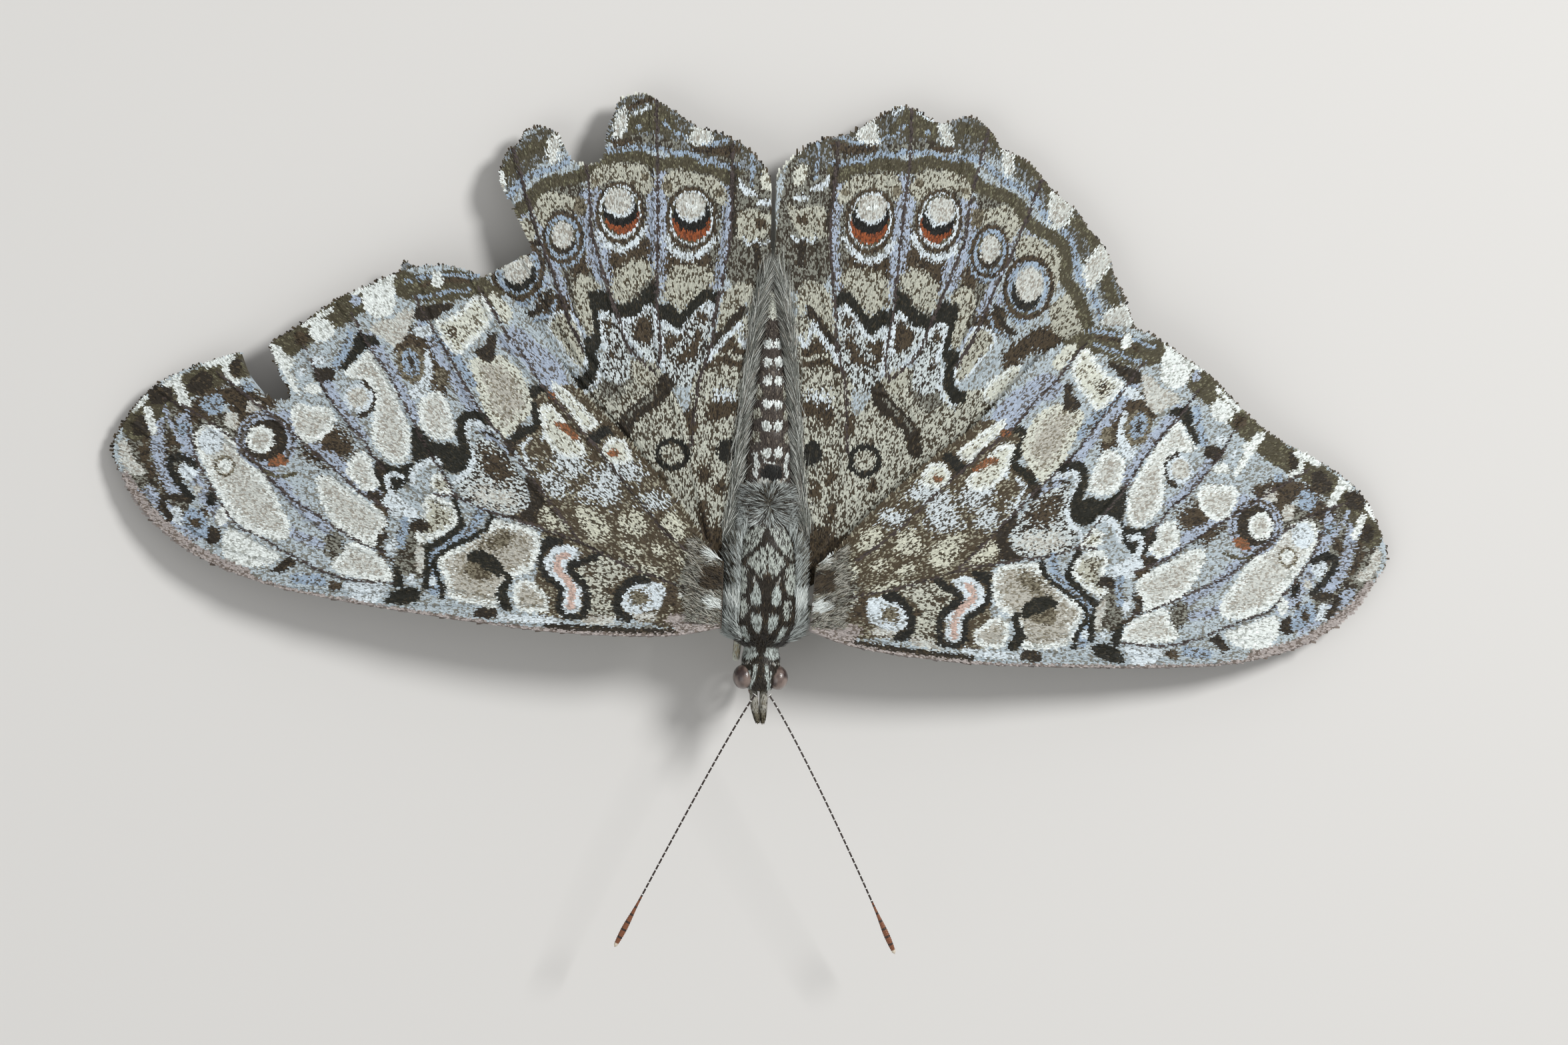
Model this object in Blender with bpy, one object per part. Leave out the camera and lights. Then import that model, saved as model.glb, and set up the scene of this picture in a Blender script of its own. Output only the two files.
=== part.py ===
"""Gray cracker butterfly (Hamadryas februa) at life size, resting with its wings spread flat.

The frame: the head points to -Y, the back is up, and the animal's left side is at +X.
The feet stand on Z = 0, and the middle of the footprint is at the origin.
Lengths below are in millimetres, and MM turns them into metres.
"""

from math import cos, exp, hypot, pi, radians, sin

import bmesh
import bpy
import numpy as np
from mathutils import Matrix, Vector
from mathutils.geometry import delaunay_2d_cdt

MM = 0.001

# Driving dimensions
GAP = 0.3
WING_THICKNESS = 0.5
VEIN_RISE = 0.16
VEIN_RISE_BELOW = 0.1
VEIN_HALF_WIDTHS = (0.36, 0.22)
WING_LIFT = 1.1
WING_ROOT_HEIGHT = 5.3
DROOP_PER_MM = 0.055
DROOP_PER_MM2 = 0.0022
TAIL_DROP_PER_MM2 = 0.0036
WING_ROOT = 2.66
FOREWING_HINGE = (WING_ROOT, -2.5)
FOREWING_SWING = 6.0
VEIN_PITCH = 3.2
VEIN_END_TO_MARGIN = 0.45
GRID_PITCH = 4.2
GRID_STEPS = 11
GRID_FRONT = -5.0
GRID_TO_MARGIN = 1.0
GRID_TO_VEIN = 1.2
MARGIN_PITCH = 3.0
THORAX_HALF_WIDTH = 2.4
THORAX_FRONT = -4.85
THORAX_BACK = 2.2
ABDOMEN_END = 16.9
HEAD_BACK = THORAX_FRONT - GAP
HEAD_FRONT = -7.6
HEAD_HEIGHT = 5.0
EYE_CENTRE = (1.02, -6.55, 5.1)
EYE_RADII = (0.62, 0.82, 0.9)
ANTENNA_BASE = (0.42, -7.72, 6.05)
ANTENNA_REACH = 15.43
ANTENNA_DROP = 1.4
ANTENNA_RADIUS = 0.25
CLUB_RADIUS = 0.32
SOLE_AXIS = 0.2
COIL_RADIUS = 1.12
COIL_PITCH = 0.62
COIL_TURNS = 1.6

# Each margin runs from the front corner of the root out to the tip and back,
# as distances out from the midline and toward the tail. The forewing's is its resting
# place on the right side; the hindwing's is whole, as on the left side.
FOREWING_COSTA = [(WING_ROOT, -3.8), (6.1, -4.4), (12.4, -4.4), (18.7, -3.8), (25.0, -3.0), (29.8, -2.1),
                  (34.1, -0.4), (36.9, 1.9), (38.4, 4.4)]
FOREWING_OUTER = [(38.8, 5.7), (38.2, 7.2), (36.5, 9.4), (33.6, 10.9), (30.6, 11.9), (28.4, 13.1),
                  (26.0, 14.9), (23.8, 16.0), (21.4, 17.0), (19.0, 17.1), (17.0, 16.2)]
FOREWING_HIND = [(14.7, 14.2), (11.6, 10.1), (8.5, 7.0), (5.6, 3.4), (3.9, 0.1), (WING_ROOT, -1.3)]
HINDWING_COSTA = [(WING_ROOT, -0.4), (4.6, 0.9), (9.0, 3.2), (15.0, 6.4), (20.0, 9.6), (22.2, 12.4)]
HINDWING_OUTER = [(22.8, 14.6), (22.2, 16.8), (21.4, 18.4), (20.9, 20.0), (19.6, 21.4), (18.9, 22.4),
                  (17.4, 23.5), (15.9, 25.1), (14.2, 25.9), (13.4, 27.0), (12.3, 27.7), (10.4, 27.2),
                  (8.9, 27.9), (7.8, 28.1), (6.2, 27.2), (4.6, 26.2), (3.2, 25.9), (1.8, 25.2),
                  (0.7, 24.1)]

# Tears in the right wings, each from the margin in and back out to it
FOREWING_TEAR = [(31.6, 11.6), (31.1, 10.4), (30.3, 9.4), (29.7, 8.8), (28.7, 8.8), (28.5, 9.3),
                 (29.1, 10.4), (29.8, 12.2)]
HINDWING_TEARS = [
    [(18.2, 15.6), (16.8, 16.8), (15.5, 17.6), (14.3, 18.2), (14.6, 19.2), (15.4, 20.8), (16.3, 22.6),
     (16.0, 24.2), (15.2, 24.9)],
    [(13.2, 25.6), (12.3, 24.0), (11.6, 23.6), (10.3, 24.0), (10.0, 25.7), (9.5, 27.1)],
]

# Main veins, root to margin: the cell first, then its branches
FOREWING_VEINS = {
    "subcosta": [(3.4, -3.1), (8.0, -3.7), (14.0, -3.8), (18.7, -3.8)],
    "radius": [(3.4, -2.6), (10.0, -2.9), (14.5, -2.6), (19.0, -1.9), (25.0, -1.6), (31.4, 1.1),
               (34.6, 4.6), (38.0, 7.4)],
    "radius_1": [(14.5, -2.6), (19.5, -2.9), (25.0, -3.0)],
    "radius_2": [(19.0, -1.9), (24.5, -2.3), (30.0, -2.0)],
    "radius_4": [(27.0, -0.8), (32.6, 0.2), (38.4, 4.4)],
    "cell_end": [(19.0, -1.9), (20.2, 0.6), (20.5, 3.6)],
    "cubitus": [(3.4, -1.8), (6.1, -0.8), (11.3, 1.2), (17.8, 2.8), (20.5, 3.6), (24.0, 6.2),
                (27.0, 10.2), (28.4, 13.1)],
    "media_1": [(20.0, 0.2), (23.5, 0.0), (27.1, 1.8), (31.0, 5.4), (36.5, 9.4)],
    "media_2": [(20.4, 1.8), (23.6, 2.7), (28.5, 6.9), (33.6, 10.9)],
    "cubitus_1": [(17.8, 2.8), (21.2, 7.6), (24.1, 12.3), (26.0, 14.9)],
    "cubitus_2": [(11.3, 1.2), (15.4, 5.8), (18.7, 10.5), (21.4, 17.0)],
    "anal": [(3.4, -1.2), (7.0, 3.0), (12.0, 8.3), (16.1, 13.0), (18.2, 16.8)],
}
HINDWING_VEINS = {
    "subcosta": [(3.4, 0.4), (8.0, 4.2), (15.0, 8.4), (22.7, 14.6)],
    "radius": [(3.4, 0.9), (6.4, 5.2), (9.4, 8.8), (14.2, 13.4), (21.4, 18.4)],
    "media_1": [(9.4, 8.8), (13.0, 14.6), (18.9, 22.4)],
    "media_2": [(8.8, 10.0), (11.4, 13.6), (13.8, 18.6), (15.9, 25.1)],
    "cell_end": [(9.4, 8.8), (8.2, 10.4), (6.3, 10.8)],
    "cubitus": [(3.4, 1.5), (4.6, 6.0), (6.3, 10.8), (9.5, 14.9), (11.2, 20.0), (12.3, 27.7)],
    "cubitus_1": [(6.3, 10.8), (7.0, 15.0), (7.5, 22.0), (7.8, 28.1)],
    "cubitus_2": [(4.6, 6.0), (4.2, 11.0), (3.2, 17.0), (2.4, 25.5)],
}

# Stations of the body forms along Y: (y, half width, half height, height of the axis)
THORAX_STATIONS = [(THORAX_FRONT, 0.85, 0.8, 4.9), (-4.7, 1.5, 1.35, 5.0), (-4.3, 2.0, 1.85, 5.1),
                   (-3.6, THORAX_HALF_WIDTH, 2.2, 5.2), (-2.2, THORAX_HALF_WIDTH, 2.45, 5.25),
                   (-0.6, THORAX_HALF_WIDTH, 2.4, 5.2), (0.8, THORAX_HALF_WIDTH, 2.1, 5.1),
                   (1.6, 2.2, 1.75, 5.0), (THORAX_BACK, 1.35, 1.2, 4.9)]
ABDOMEN_STATIONS = [(THORAX_BACK + GAP, 1.25, 1.15, 4.85), (3.4, 1.55, 1.5, 4.8), (5.4, 1.62, 1.6, 4.7),
                    (7.2, 1.5, 1.55, 4.6), (9.0, 1.28, 1.4, 4.5), (10.8, 1.08, 1.2, 4.4),
                    (12.6, 0.9, 1.0, 4.3), (14.2, 0.72, 0.82, 4.2), (15.6, 0.55, 0.62, 4.1),
                    (16.5, 0.36, 0.42, 4.05), (ABDOMEN_END, 0.16, 0.2, 4.0)]
ABDOMEN_JOINTS = [4.2, 6.1, 8.0, 9.9, 11.7, 13.4, 15.0]
JOINT_PINCH = 0.1
HEAD_STATIONS = [(HEAD_BACK, 0.8, 0.75, 4.9), (-5.4, 1.2, 1.1, 4.95), (-6.0, 1.42, 1.3, HEAD_HEIGHT),
                 (-6.7, 1.4, 1.25, HEAD_HEIGHT), (-7.3, 1.05, 0.95, 4.95), (HEAD_FRONT, 0.5, 0.5, 4.9)]

# Leg routes on the left side, hip to claw, as (point, radius)
MIDDLE_LEG = [((1.75, -2.4, 2.3), 0.48), ((5.0, -2.9, 3.5), 0.42), ((7.9, -3.0, 0.7), 0.32),
              ((8.6, -3.0, SOLE_AXIS), 0.3), ((12.2, -3.2, SOLE_AXIS), 0.28)]
HIND_LEG = [((1.65, 0.4, 2.35), 0.48), ((4.3, 4.2, 3.3), 0.42), ((6.4, 9.4, 0.7), 0.32),
            ((6.7, 10.3, SOLE_AXIS), 0.3), ((7.7, 15.2, SOLE_AXIS), 0.28)]
FRONT_LEG = [((0.95, -3.7, 2.45), 0.34), ((1.1, -5.6, 2.3), 0.28), ((0.95, -4.2, 1.35), 0.25)]


def clear_scene():
    for old in list(bpy.data.objects):
        bpy.data.objects.remove(old, do_unlink=True)


def new_collection(name):
    collection = bpy.data.collections.new(name)
    bpy.context.scene.collection.children.link(collection)
    return collection


def plain_material(name, colour, roughness):
    """A Principled material with one colour, no metal."""
    material = bpy.data.materials.new(name)
    material.use_nodes = True
    shader = material.node_tree.nodes["Principled BSDF"]
    shader.inputs["Base Color"].default_value = (*colour, 1.0)
    shader.inputs["Roughness"].default_value = roughness
    shader.inputs["Metallic"].default_value = 0.0
    return material


def mesh_object(name, bm, collection, colour, roughness=0.8):
    """Turns a bmesh in millimetres into an object in metres, with its normals out."""
    bmesh.ops.remove_doubles(bm, verts=bm.verts, dist=1e-4)
    bmesh.ops.triangulate(bm, faces=bm.faces)
    bmesh.ops.recalc_face_normals(bm, faces=bm.faces)
    bmesh.ops.scale(bm, verts=bm.verts, vec=(MM, MM, MM))
    mesh = bpy.data.meshes.new(name)
    bm.to_mesh(mesh)
    bm.free()
    mesh.shade_smooth()
    mesh.set_sharp_from_angle(angle=radians(40))
    mesh.materials.append(plain_material(name + "_finish", colour, roughness))
    made = bpy.data.objects.new(name, mesh)
    collection.objects.link(made)
    return made


def smooth_line(points, pitch):
    """Points about one pitch apart on a smooth curve through the given ones."""
    given = [np.array(p, float) for p in points]
    padded = [2 * given[0] - given[1], *given, 2 * given[-1] - given[-2]]
    line = []
    for before, start, end, after in zip(padded, padded[1:], padded[2:], padded[3:]):
        steps = max(1, round(float(np.linalg.norm(end - start)) / pitch))
        for step in range(steps):
            t = step / steps
            line.append(0.5 * (2 * start + (end - before) * t
                               + (2 * before - 5 * start + 4 * end - after) * t ** 2
                               + (3 * start - before - 3 * end + after) * t ** 3))
    line.append(given[-1])
    return line


def wing_height(out, along):
    """Height of the hindwing's middle plane over the floor; the wings droop outward and aft."""
    aft = max(0.0, along)
    return (WING_ROOT_HEIGHT - DROOP_PER_MM * out - DROOP_PER_MM2 * out ** 2
            - TAIL_DROP_PER_MM2 * aft ** 2)


def abdomen_half_width(along):
    ys, widths = zip(*[(y, width) for y, width, _, _ in ABDOMEN_STATIONS])
    return float(np.interp(along, ys, widths, right=0.0))


def hindwing_inner_margin():
    """From the tail end of the wing forward beside the abdomen to the root's rear corner."""
    stations = [23.0, 20.0, ABDOMEN_END + 0.9, 16.2, 14.2, 12.6, 10.8, 9.0, 7.2, 5.4, 3.6]
    margin = [(abdomen_half_width(y) + GAP + 0.1 if y < ABDOMEN_END else GAP / 2, y) for y in stations]
    return [*margin, (WING_ROOT, 2.0)]


def with_tear(margin, tear):
    """The margin with the stretch between the tear's two ends replaced by the tear."""
    first, last = (min(range(len(margin)), key=lambda i: hypot(margin[i][0] - end[0], margin[i][1] - end[1]))
                   for end in (tear[0], tear[-1]))
    return margin[:first] + tear + margin[last + 1:]


def swung(point, hinge, degrees):
    """A point turned about the wing's hinge, forward for a positive angle."""
    turn = radians(degrees)
    out, along = point[0] - hinge[0], point[1] - hinge[1]
    return (hinge[0] + out * cos(turn) + along * sin(turn),
            hinge[1] + along * cos(turn) - out * sin(turn))


def distance_to_line(point, line):
    """The shortest distance in plan from a point to a run of straight pieces."""
    starts = np.array(line[:-1], float)
    runs = np.array(line[1:], float) - starts
    away = np.array(point, float) - starts
    share = np.clip((away * runs).sum(1) / (runs ** 2).sum(1), 0.0, 1.0)
    return float(np.linalg.norm(away - runs * share[:, None], axis=1).min())


def inside(point, margin):
    """Whether a point in plan lies within the closed margin."""
    within = False
    for (x1, y1), (x2, y2) in zip(margin, margin[1:] + margin[:1]):
        if (y1 > point[1]) != (y2 > point[1]):
            within ^= point[0] < x1 + (point[1] - y1) * (x2 - x1) / (y2 - y1)
    return within


def vein_lines(veins, margin):
    """Each vein's crest as it runs inside the margin, and the two feet of its ridge."""
    closed = margin + margin[:1]
    crests, feet = [], []
    for points in veins.values():
        line = [tuple(p) for p in smooth_line(points, VEIN_PITCH)]
        crest = [p for p in line if inside(p, margin) and distance_to_line(p, closed) > VEIN_END_TO_MARGIN]
        if len(crest) < 3:
            continue
        crests.append(crest)
        sides = ([], [])
        for before, (x, y), after in zip(crest, crest[1:], crest[2:]):
            along = Vector((after[0] - before[0], after[1] - before[1])).normalized()
            half = vein_half_width(x)
            for foot, sign in zip(sides, (1, -1)):
                foot.append((x - sign * along.y * half, y + sign * along.x * half))
        feet.extend(sides)
    return crests, feet


def vein_half_width(out):
    near, far = VEIN_HALF_WIDTHS
    return float(np.interp(out, (3.0, 30.0), (near, far)))


def wing_sheet(name, margin, veins, side, lift, collection, colour):
    """One wing: a thin drooping membrane whose two faces share one set of triangles.

    The veins stand out of both faces, because the points on a crest are raised above its feet."""
    closed = margin + margin[:1]
    crests, feet = vein_lines(veins, margin)
    points = list(margin)
    edges = [(i, (i + 1) % len(margin)) for i in range(len(margin))]
    for line in crests + feet:
        edges += [(len(points) + i, len(points) + i + 1) for i in range(len(line) - 1)]
        points += line
    for column in range(GRID_STEPS):
        for row in range(GRID_STEPS):
            spot = ((column + (row % 2) / 2) * GRID_PITCH, GRID_FRONT + row * GRID_PITCH * sin(pi / 3))
            clear = inside(spot, margin) and distance_to_line(spot, closed) > GRID_TO_MARGIN
            if clear and all(distance_to_line(spot, line) > GRID_TO_VEIN for line in crests):
                points.append(spot)
    spots, _, triangles, _, _, _ = delaunay_2d_cdt(
        [Vector(p) for p in points], edges, [list(range(len(margin)))], 1, 1e-4)
    bm = bmesh.new()
    rise = bm.verts.layers.float.new("rise")
    lower = []
    for x, y in spots:
        share = max(0.0, 1.0 - min(distance_to_line((x, y), line) for line in crests) / vein_half_width(x))
        vert = bm.verts.new((side * x, y, wing_height(x, y) + lift - WING_THICKNESS / 2
                             - VEIN_RISE_BELOW * share))
        vert[rise] = share
        lower.append(vert)
    faces = [bm.faces.new([lower[i] for i in corners]) for corners in triangles]
    raised = bmesh.ops.extrude_face_region(bm, geom=faces)["geom"]
    for item in raised:
        if isinstance(item, bmesh.types.BMVert):
            item.co.z += WING_THICKNESS + (VEIN_RISE + VEIN_RISE_BELOW) * item[rise]
    return mesh_object(name, bm, collection, colour)


def forewings(collection):
    """The right one is torn at its outer margin; the left one rests swung further forward."""
    margin = [tuple(p) for p in smooth_line(FOREWING_COSTA + FOREWING_OUTER[:1], MARGIN_PITCH)[:-1]]
    margin += FOREWING_OUTER
    margin += [tuple(p) for p in smooth_line(FOREWING_OUTER[-1:] + FOREWING_HIND, MARGIN_PITCH)[1:]]
    left = [swung(p, FOREWING_HINGE, FOREWING_SWING) for p in margin]
    left = [(max(WING_ROOT, x), y) for x, y in left]
    left_veins = {vein: [swung(p, FOREWING_HINGE, FOREWING_SWING) for p in line]
                  for vein, line in FOREWING_VEINS.items()}
    wing_sheet("forewing_left", left, left_veins, 1, WING_LIFT, collection, (0.42, 0.41, 0.38))
    right = with_tear(margin, FOREWING_TEAR)
    wing_sheet("forewing_right", right, FOREWING_VEINS, -1, WING_LIFT, collection, (0.30, 0.29, 0.26))


def hindwings(collection):
    """The right one has lost the outer corner of its margin."""
    margin = [tuple(p) for p in smooth_line(HINDWING_COSTA + HINDWING_OUTER[:1], MARGIN_PITCH)[:-1]]
    margin += HINDWING_OUTER + hindwing_inner_margin()
    wing_sheet("hindwing_left", margin, HINDWING_VEINS, 1, 0.0, collection, (0.36, 0.35, 0.33))
    right = margin
    for tear in HINDWING_TEARS:
        right = with_tear(right, tear)
    wing_sheet("hindwing_right", right, HINDWING_VEINS, -1, 0.0, collection, (0.26, 0.26, 0.26))


def ring_points(centre, across, up, count, power=2.0):
    """A closed ring of points with a flat side down, an ellipse at power 2 and squarer above it."""
    ring = []
    for step in range(count):
        turn = 2 * pi * (step + 0.5) / count
        c, s = cos(turn), sin(turn)
        size = (abs(c) ** power + abs(s) ** power) ** (-1 / power)
        ring.append(centre + across * (c * size) + up * (s * size))
    return ring


def loft(rings):
    """A closed form through rings of the same count, with flat ends."""
    bm = bmesh.new()
    loops = []
    for ring in rings:
        corners = [bm.verts.new(p) for p in ring]
        loops.append([bm.edges.new((a, b)) for a, b in zip(corners, corners[1:] + corners[:1])])
    for first, second in zip(loops, loops[1:]):
        bmesh.ops.bridge_loops(bm, edges=first + second)
    bmesh.ops.contextual_create(bm, geom=loops[0])
    bmesh.ops.contextual_create(bm, geom=loops[-1])
    return bm


def body_loft(stations, power, count=16):
    rings = [ring_points(Vector((0.0, y, height)), Vector((wide, 0.0, 0.0)), Vector((0.0, 0.0, high)),
                         count, power)
             for y, wide, high, height in stations]
    return loft(rings)


def tapered_limb(route, count=8, power=2.0):
    """A limb through points with a radius at each, its rings square to the route."""
    centres = [Vector(point) for point, _ in route]
    rings = []
    for index, (centre, (_, radius)) in enumerate(zip(centres, route)):
        before = centres[max(0, index - 1)]
        after = centres[min(len(centres) - 1, index + 1)]
        along = (after - before).normalized()
        across = along.cross(Vector((0.0, 0.0, 1.0)))
        across = across.normalized() if across.length > 1e-6 else Vector((1.0, 0.0, 0.0))
        up = across.cross(along)
        rings.append(ring_points(centre, across * radius, up * radius, count, power))
    return loft(rings)


def mirrored(route, side):
    return [((side * x, y, z), radius) for (x, y, z), radius in route]


def ellipsoid(centre, radii, grow=0.0, segments=14, rings=9):
    bm = bmesh.new()
    bmesh.ops.create_uvsphere(bm, u_segments=segments, v_segments=rings, radius=1.0)
    bmesh.ops.scale(bm, verts=bm.verts, vec=[radius + grow for radius in radii])
    bmesh.ops.translate(bm, verts=bm.verts, vec=centre)
    return bm


def fuse(name, pieces, collection):
    """Joins the pieces to the named object with one union, and keeps the result as its mesh."""
    body = bpy.data.objects[name]
    joined = new_collection(name + "_lobes")
    for index, bm in enumerate(pieces):
        mesh_object(f"{name}_lobe_{index}", bm, joined, (0.5, 0.5, 0.5))
    union = body.modifiers.new("lobes", "BOOLEAN")
    union.operation = "UNION"
    union.operand_type = "COLLECTION"
    union.collection = joined
    bpy.context.view_layer.update()
    fused = bpy.data.meshes.new_from_object(body.evaluated_get(bpy.context.evaluated_depsgraph_get()))
    body.modifiers.remove(union)
    body.data = fused
    for piece in list(joined.objects):
        bpy.data.objects.remove(piece, do_unlink=True)
    bpy.data.collections.remove(joined)


def thorax(collection):
    """The middle barrel, with the collar plates in front and a shoulder plate over each wing root."""
    mesh_object("thorax", body_loft(THORAX_STATIONS, 3.0), collection, (0.12, 0.11, 0.09))
    lobes = [ellipsoid((0.0, 1.0, 6.55), (1.1, 1.0, 0.7), 0.0, 12, 7)]
    for side in (1, -1):
        lobes.append(ellipsoid((side * 0.82, -4.45, 6.3), (0.72, 0.42, 0.62), 0.0, 12, 7))
        lobes.append(ellipsoid((side * 1.85, -2.75, 7.05), (0.68, 1.25, 0.5), 0.0, 12, 7))
    fuse("thorax", lobes, collection)


def abdomen(collection):
    """Eight rings of armour, each a little pinched where it meets the next."""
    stations = []
    ys, wides, highs, axes = zip(*ABDOMEN_STATIONS)
    marks = sorted([(y, 0.0) for y in ys]
                   + [(joint + step, pinch) for joint in ABDOMEN_JOINTS
                      for step, pinch in ((-0.3, 0.0), (0.0, JOINT_PINCH), (0.12, 0.0))])
    for y, pinch in marks:
        if stations and y - stations[-1][0] < 0.1 and not pinch:
            continue
        wide, high, axis = (float(np.interp(y, ys, values)) for values in (wides, highs, axes))
        stations.append((y, wide - pinch, high - pinch, axis))
    mesh_object("abdomen", body_loft(stations, 2.2, 14), collection, (0.10, 0.08, 0.08))


def head_and_eyes(collection, cutters):
    """The eyes sit in sockets that keep one gap to them all round."""
    head = mesh_object("head", body_loft(HEAD_STATIONS, 2.2), collection, (0.13, 0.12, 0.10))
    for side, word in ((1, "left"), (-1, "right")):
        around_eye = ellipsoid((side * EYE_CENTRE[0], *EYE_CENTRE[1:]), EYE_RADII, GAP)
        socket = mesh_object("socket_" + word, around_eye, cutters, (0.5, 0.5, 0.5))
        socket.hide_render = True
        socket.display_type = "WIRE"
        cut = head.modifiers.new("socket_" + word, "BOOLEAN")
        cut.operation = "DIFFERENCE"
        cut.object = socket
        eye = ellipsoid((side * EYE_CENTRE[0], *EYE_CENTRE[1:]), EYE_RADII)
        mesh_object("eye_" + word, eye, collection, (0.13, 0.08, 0.05), 0.35)


def palps_and_proboscis(collection):
    palp = [((0.45, -8.07, 4.7), 0.28), ((0.45, -8.5, 5.05), 0.28), ((0.42, -9.35, 5.6), 0.22)]
    for side, word in ((1, "left"), (-1, "right")):
        mesh_object("palp_" + word, tapered_limb(mirrored(palp, side)), collection, (0.45, 0.42, 0.36))
    coil = []
    steps = 20
    for step in range(steps + 1):
        turn = 2 * pi * COIL_TURNS * step / steps
        reach = COIL_RADIUS - COIL_PITCH * turn / (2 * pi)
        coil.append(((0.0, -6.7 - reach * sin(turn), 2.15 + reach * cos(turn)), 0.22))
    mesh_object("proboscis", tapered_limb(coil, 6), collection, (0.10, 0.06, 0.04), 0.5)


def antennae(collection):
    """Each runs forward and out in a slight bow and ends in a slim club."""
    steps = 14
    out, front, height = ANTENNA_BASE
    for side, word, spread in ((1, "left", 8.9), (-1, "right", 8.2)):
        route = []
        for step in range(steps + 1):
            share = step / steps
            y = front - ANTENNA_REACH * share
            x = out + (spread - out) * share ** 0.92
            z = height - ANTENNA_DROP * share ** 2
            club = exp(-((share - 0.93) / 0.08) ** 2)
            route.append(((side * x, y, z), ANTENNA_RADIUS + (CLUB_RADIUS - ANTENNA_RADIUS) * club))
        mesh_object("antenna_" + word, tapered_limb(route, 6), collection, (0.09, 0.08, 0.07))


def legs(collection):
    """Four walking legs stand on flat soles; the front pair is small and folded, as in this family."""
    for side, word in ((1, "left"), (-1, "right")):
        for stem, route in (("midleg_", MIDDLE_LEG), ("hindleg_", HIND_LEG)):
            bm = tapered_limb(mirrored(route, side))
            for vert in bm.verts:
                vert.co.z = max(0.0, vert.co.z)
            mesh_object(stem + word, bm, collection, (0.24, 0.21, 0.17))
        mesh_object("foreleg_" + word, tapered_limb(mirrored(FRONT_LEG, side)), collection,
                    (0.30, 0.27, 0.22))


def centre_on_origin(collections):
    """Moves everything so that the middle of the footprint is over the origin."""
    spots = [vert.co for made in collections[0].objects for vert in made.data.vertices]
    middle = [(min(p[axis] for p in spots) + max(p[axis] for p in spots)) / 2 for axis in (0, 1)]
    for collection in collections:
        for made in collection.objects:
            made.data.transform(Matrix.Translation((-middle[0], -middle[1], 0.0)))


clear_scene()
butterfly = new_collection("gray_cracker_butterfly")
cutters = new_collection("cutters")
thorax(butterfly)
abdomen(butterfly)
head_and_eyes(butterfly, cutters)
palps_and_proboscis(butterfly)
antennae(butterfly)
legs(butterfly)
hindwings(butterfly)
forewings(butterfly)
centre_on_origin([butterfly, cutters])
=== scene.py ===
"""Gray cracker butterfly (Hamadryas februa), life size, at rest with its wings spread flat: the looks.

Sizes are in millimetres on the butterfly's own plan, from the midline outward and from the wing roots
toward the tail, and become metres where a mesh is made. Colours are sRGB values from 0 to 255.
"""
from math import cos, pi, radians, sin

import bmesh
import bpy
import numpy as np
from mathutils import Matrix, Vector
from mathutils.geometry import delaunay_2d_cdt


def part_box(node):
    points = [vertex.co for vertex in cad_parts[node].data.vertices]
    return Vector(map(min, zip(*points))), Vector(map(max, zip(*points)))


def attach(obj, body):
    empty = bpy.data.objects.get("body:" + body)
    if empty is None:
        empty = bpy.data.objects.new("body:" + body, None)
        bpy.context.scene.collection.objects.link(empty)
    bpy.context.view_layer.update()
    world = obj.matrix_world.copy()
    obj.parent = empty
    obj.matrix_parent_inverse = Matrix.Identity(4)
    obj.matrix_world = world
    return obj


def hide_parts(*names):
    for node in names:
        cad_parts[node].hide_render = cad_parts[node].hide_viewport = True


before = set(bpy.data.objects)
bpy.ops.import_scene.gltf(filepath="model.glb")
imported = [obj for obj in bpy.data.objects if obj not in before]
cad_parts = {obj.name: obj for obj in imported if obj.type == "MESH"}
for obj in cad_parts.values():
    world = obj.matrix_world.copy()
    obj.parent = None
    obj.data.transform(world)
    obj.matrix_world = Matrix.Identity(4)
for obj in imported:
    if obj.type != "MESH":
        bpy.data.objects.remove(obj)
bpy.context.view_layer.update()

# Wing membranes
# The two forewings and two hindwings are thin dry skin stretched over hollow veins. Each is one sheet,
# raised along its veins, that droops a little outward. The right pair is torn at the outer margin.
MM = 0.001
ABDOMEN_START = 2.5
FOREWING_LIFT = 1.1
WING_ROOT = 2.66
ROOT_HEIGHT = 5.3
DROOP = (0.055, 0.0022)
TAIL_DROP = 0.0036
FOREWING_HINGE = (WING_ROOT, -2.5)
FOREWING_SWING = 6.0
MEMBRANE_TOP = 0.17
MEMBRANE_THICKNESS = 0.1
VEIN_RISE = 0.13
VEIN_HALF_WIDTHS = (0.26, 0.15)
CELL_SAG = 0.07
CELL_SAG_REACH = 1.6
MARGIN_PITCH = 0.3
VEIN_PITCH = 0.45
RELIEF_PITCH = 0.1
RELIEF_BORDER = 1.5
FAR = 1000.0

FOREWING_COSTA = [(WING_ROOT, -3.8), (6.1, -4.4), (12.4, -4.4), (18.7, -3.8), (25.0, -3.0), (29.8, -2.1),
                  (34.1, -0.4), (36.9, 1.9), (38.4, 4.4)]
FOREWING_OUTER = [(38.8, 5.7), (38.2, 7.2), (36.5, 9.4), (33.6, 10.9), (30.6, 11.9), (28.4, 13.1),
                  (26.0, 14.9), (23.8, 16.0), (21.4, 17.0), (19.0, 17.1), (17.0, 16.2)]
FOREWING_HIND = [(14.7, 14.2), (11.6, 10.1), (8.5, 7.0), (5.5, 3.5), (3.8, 1.2), (WING_ROOT, 0.2)]
HINDWING_COSTA = [(WING_ROOT, -1.2), (4.6, 0.0), (9.0, 2.5), (15.0, 6.0), (20.0, 9.5), (22.2, 12.4)]
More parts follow.
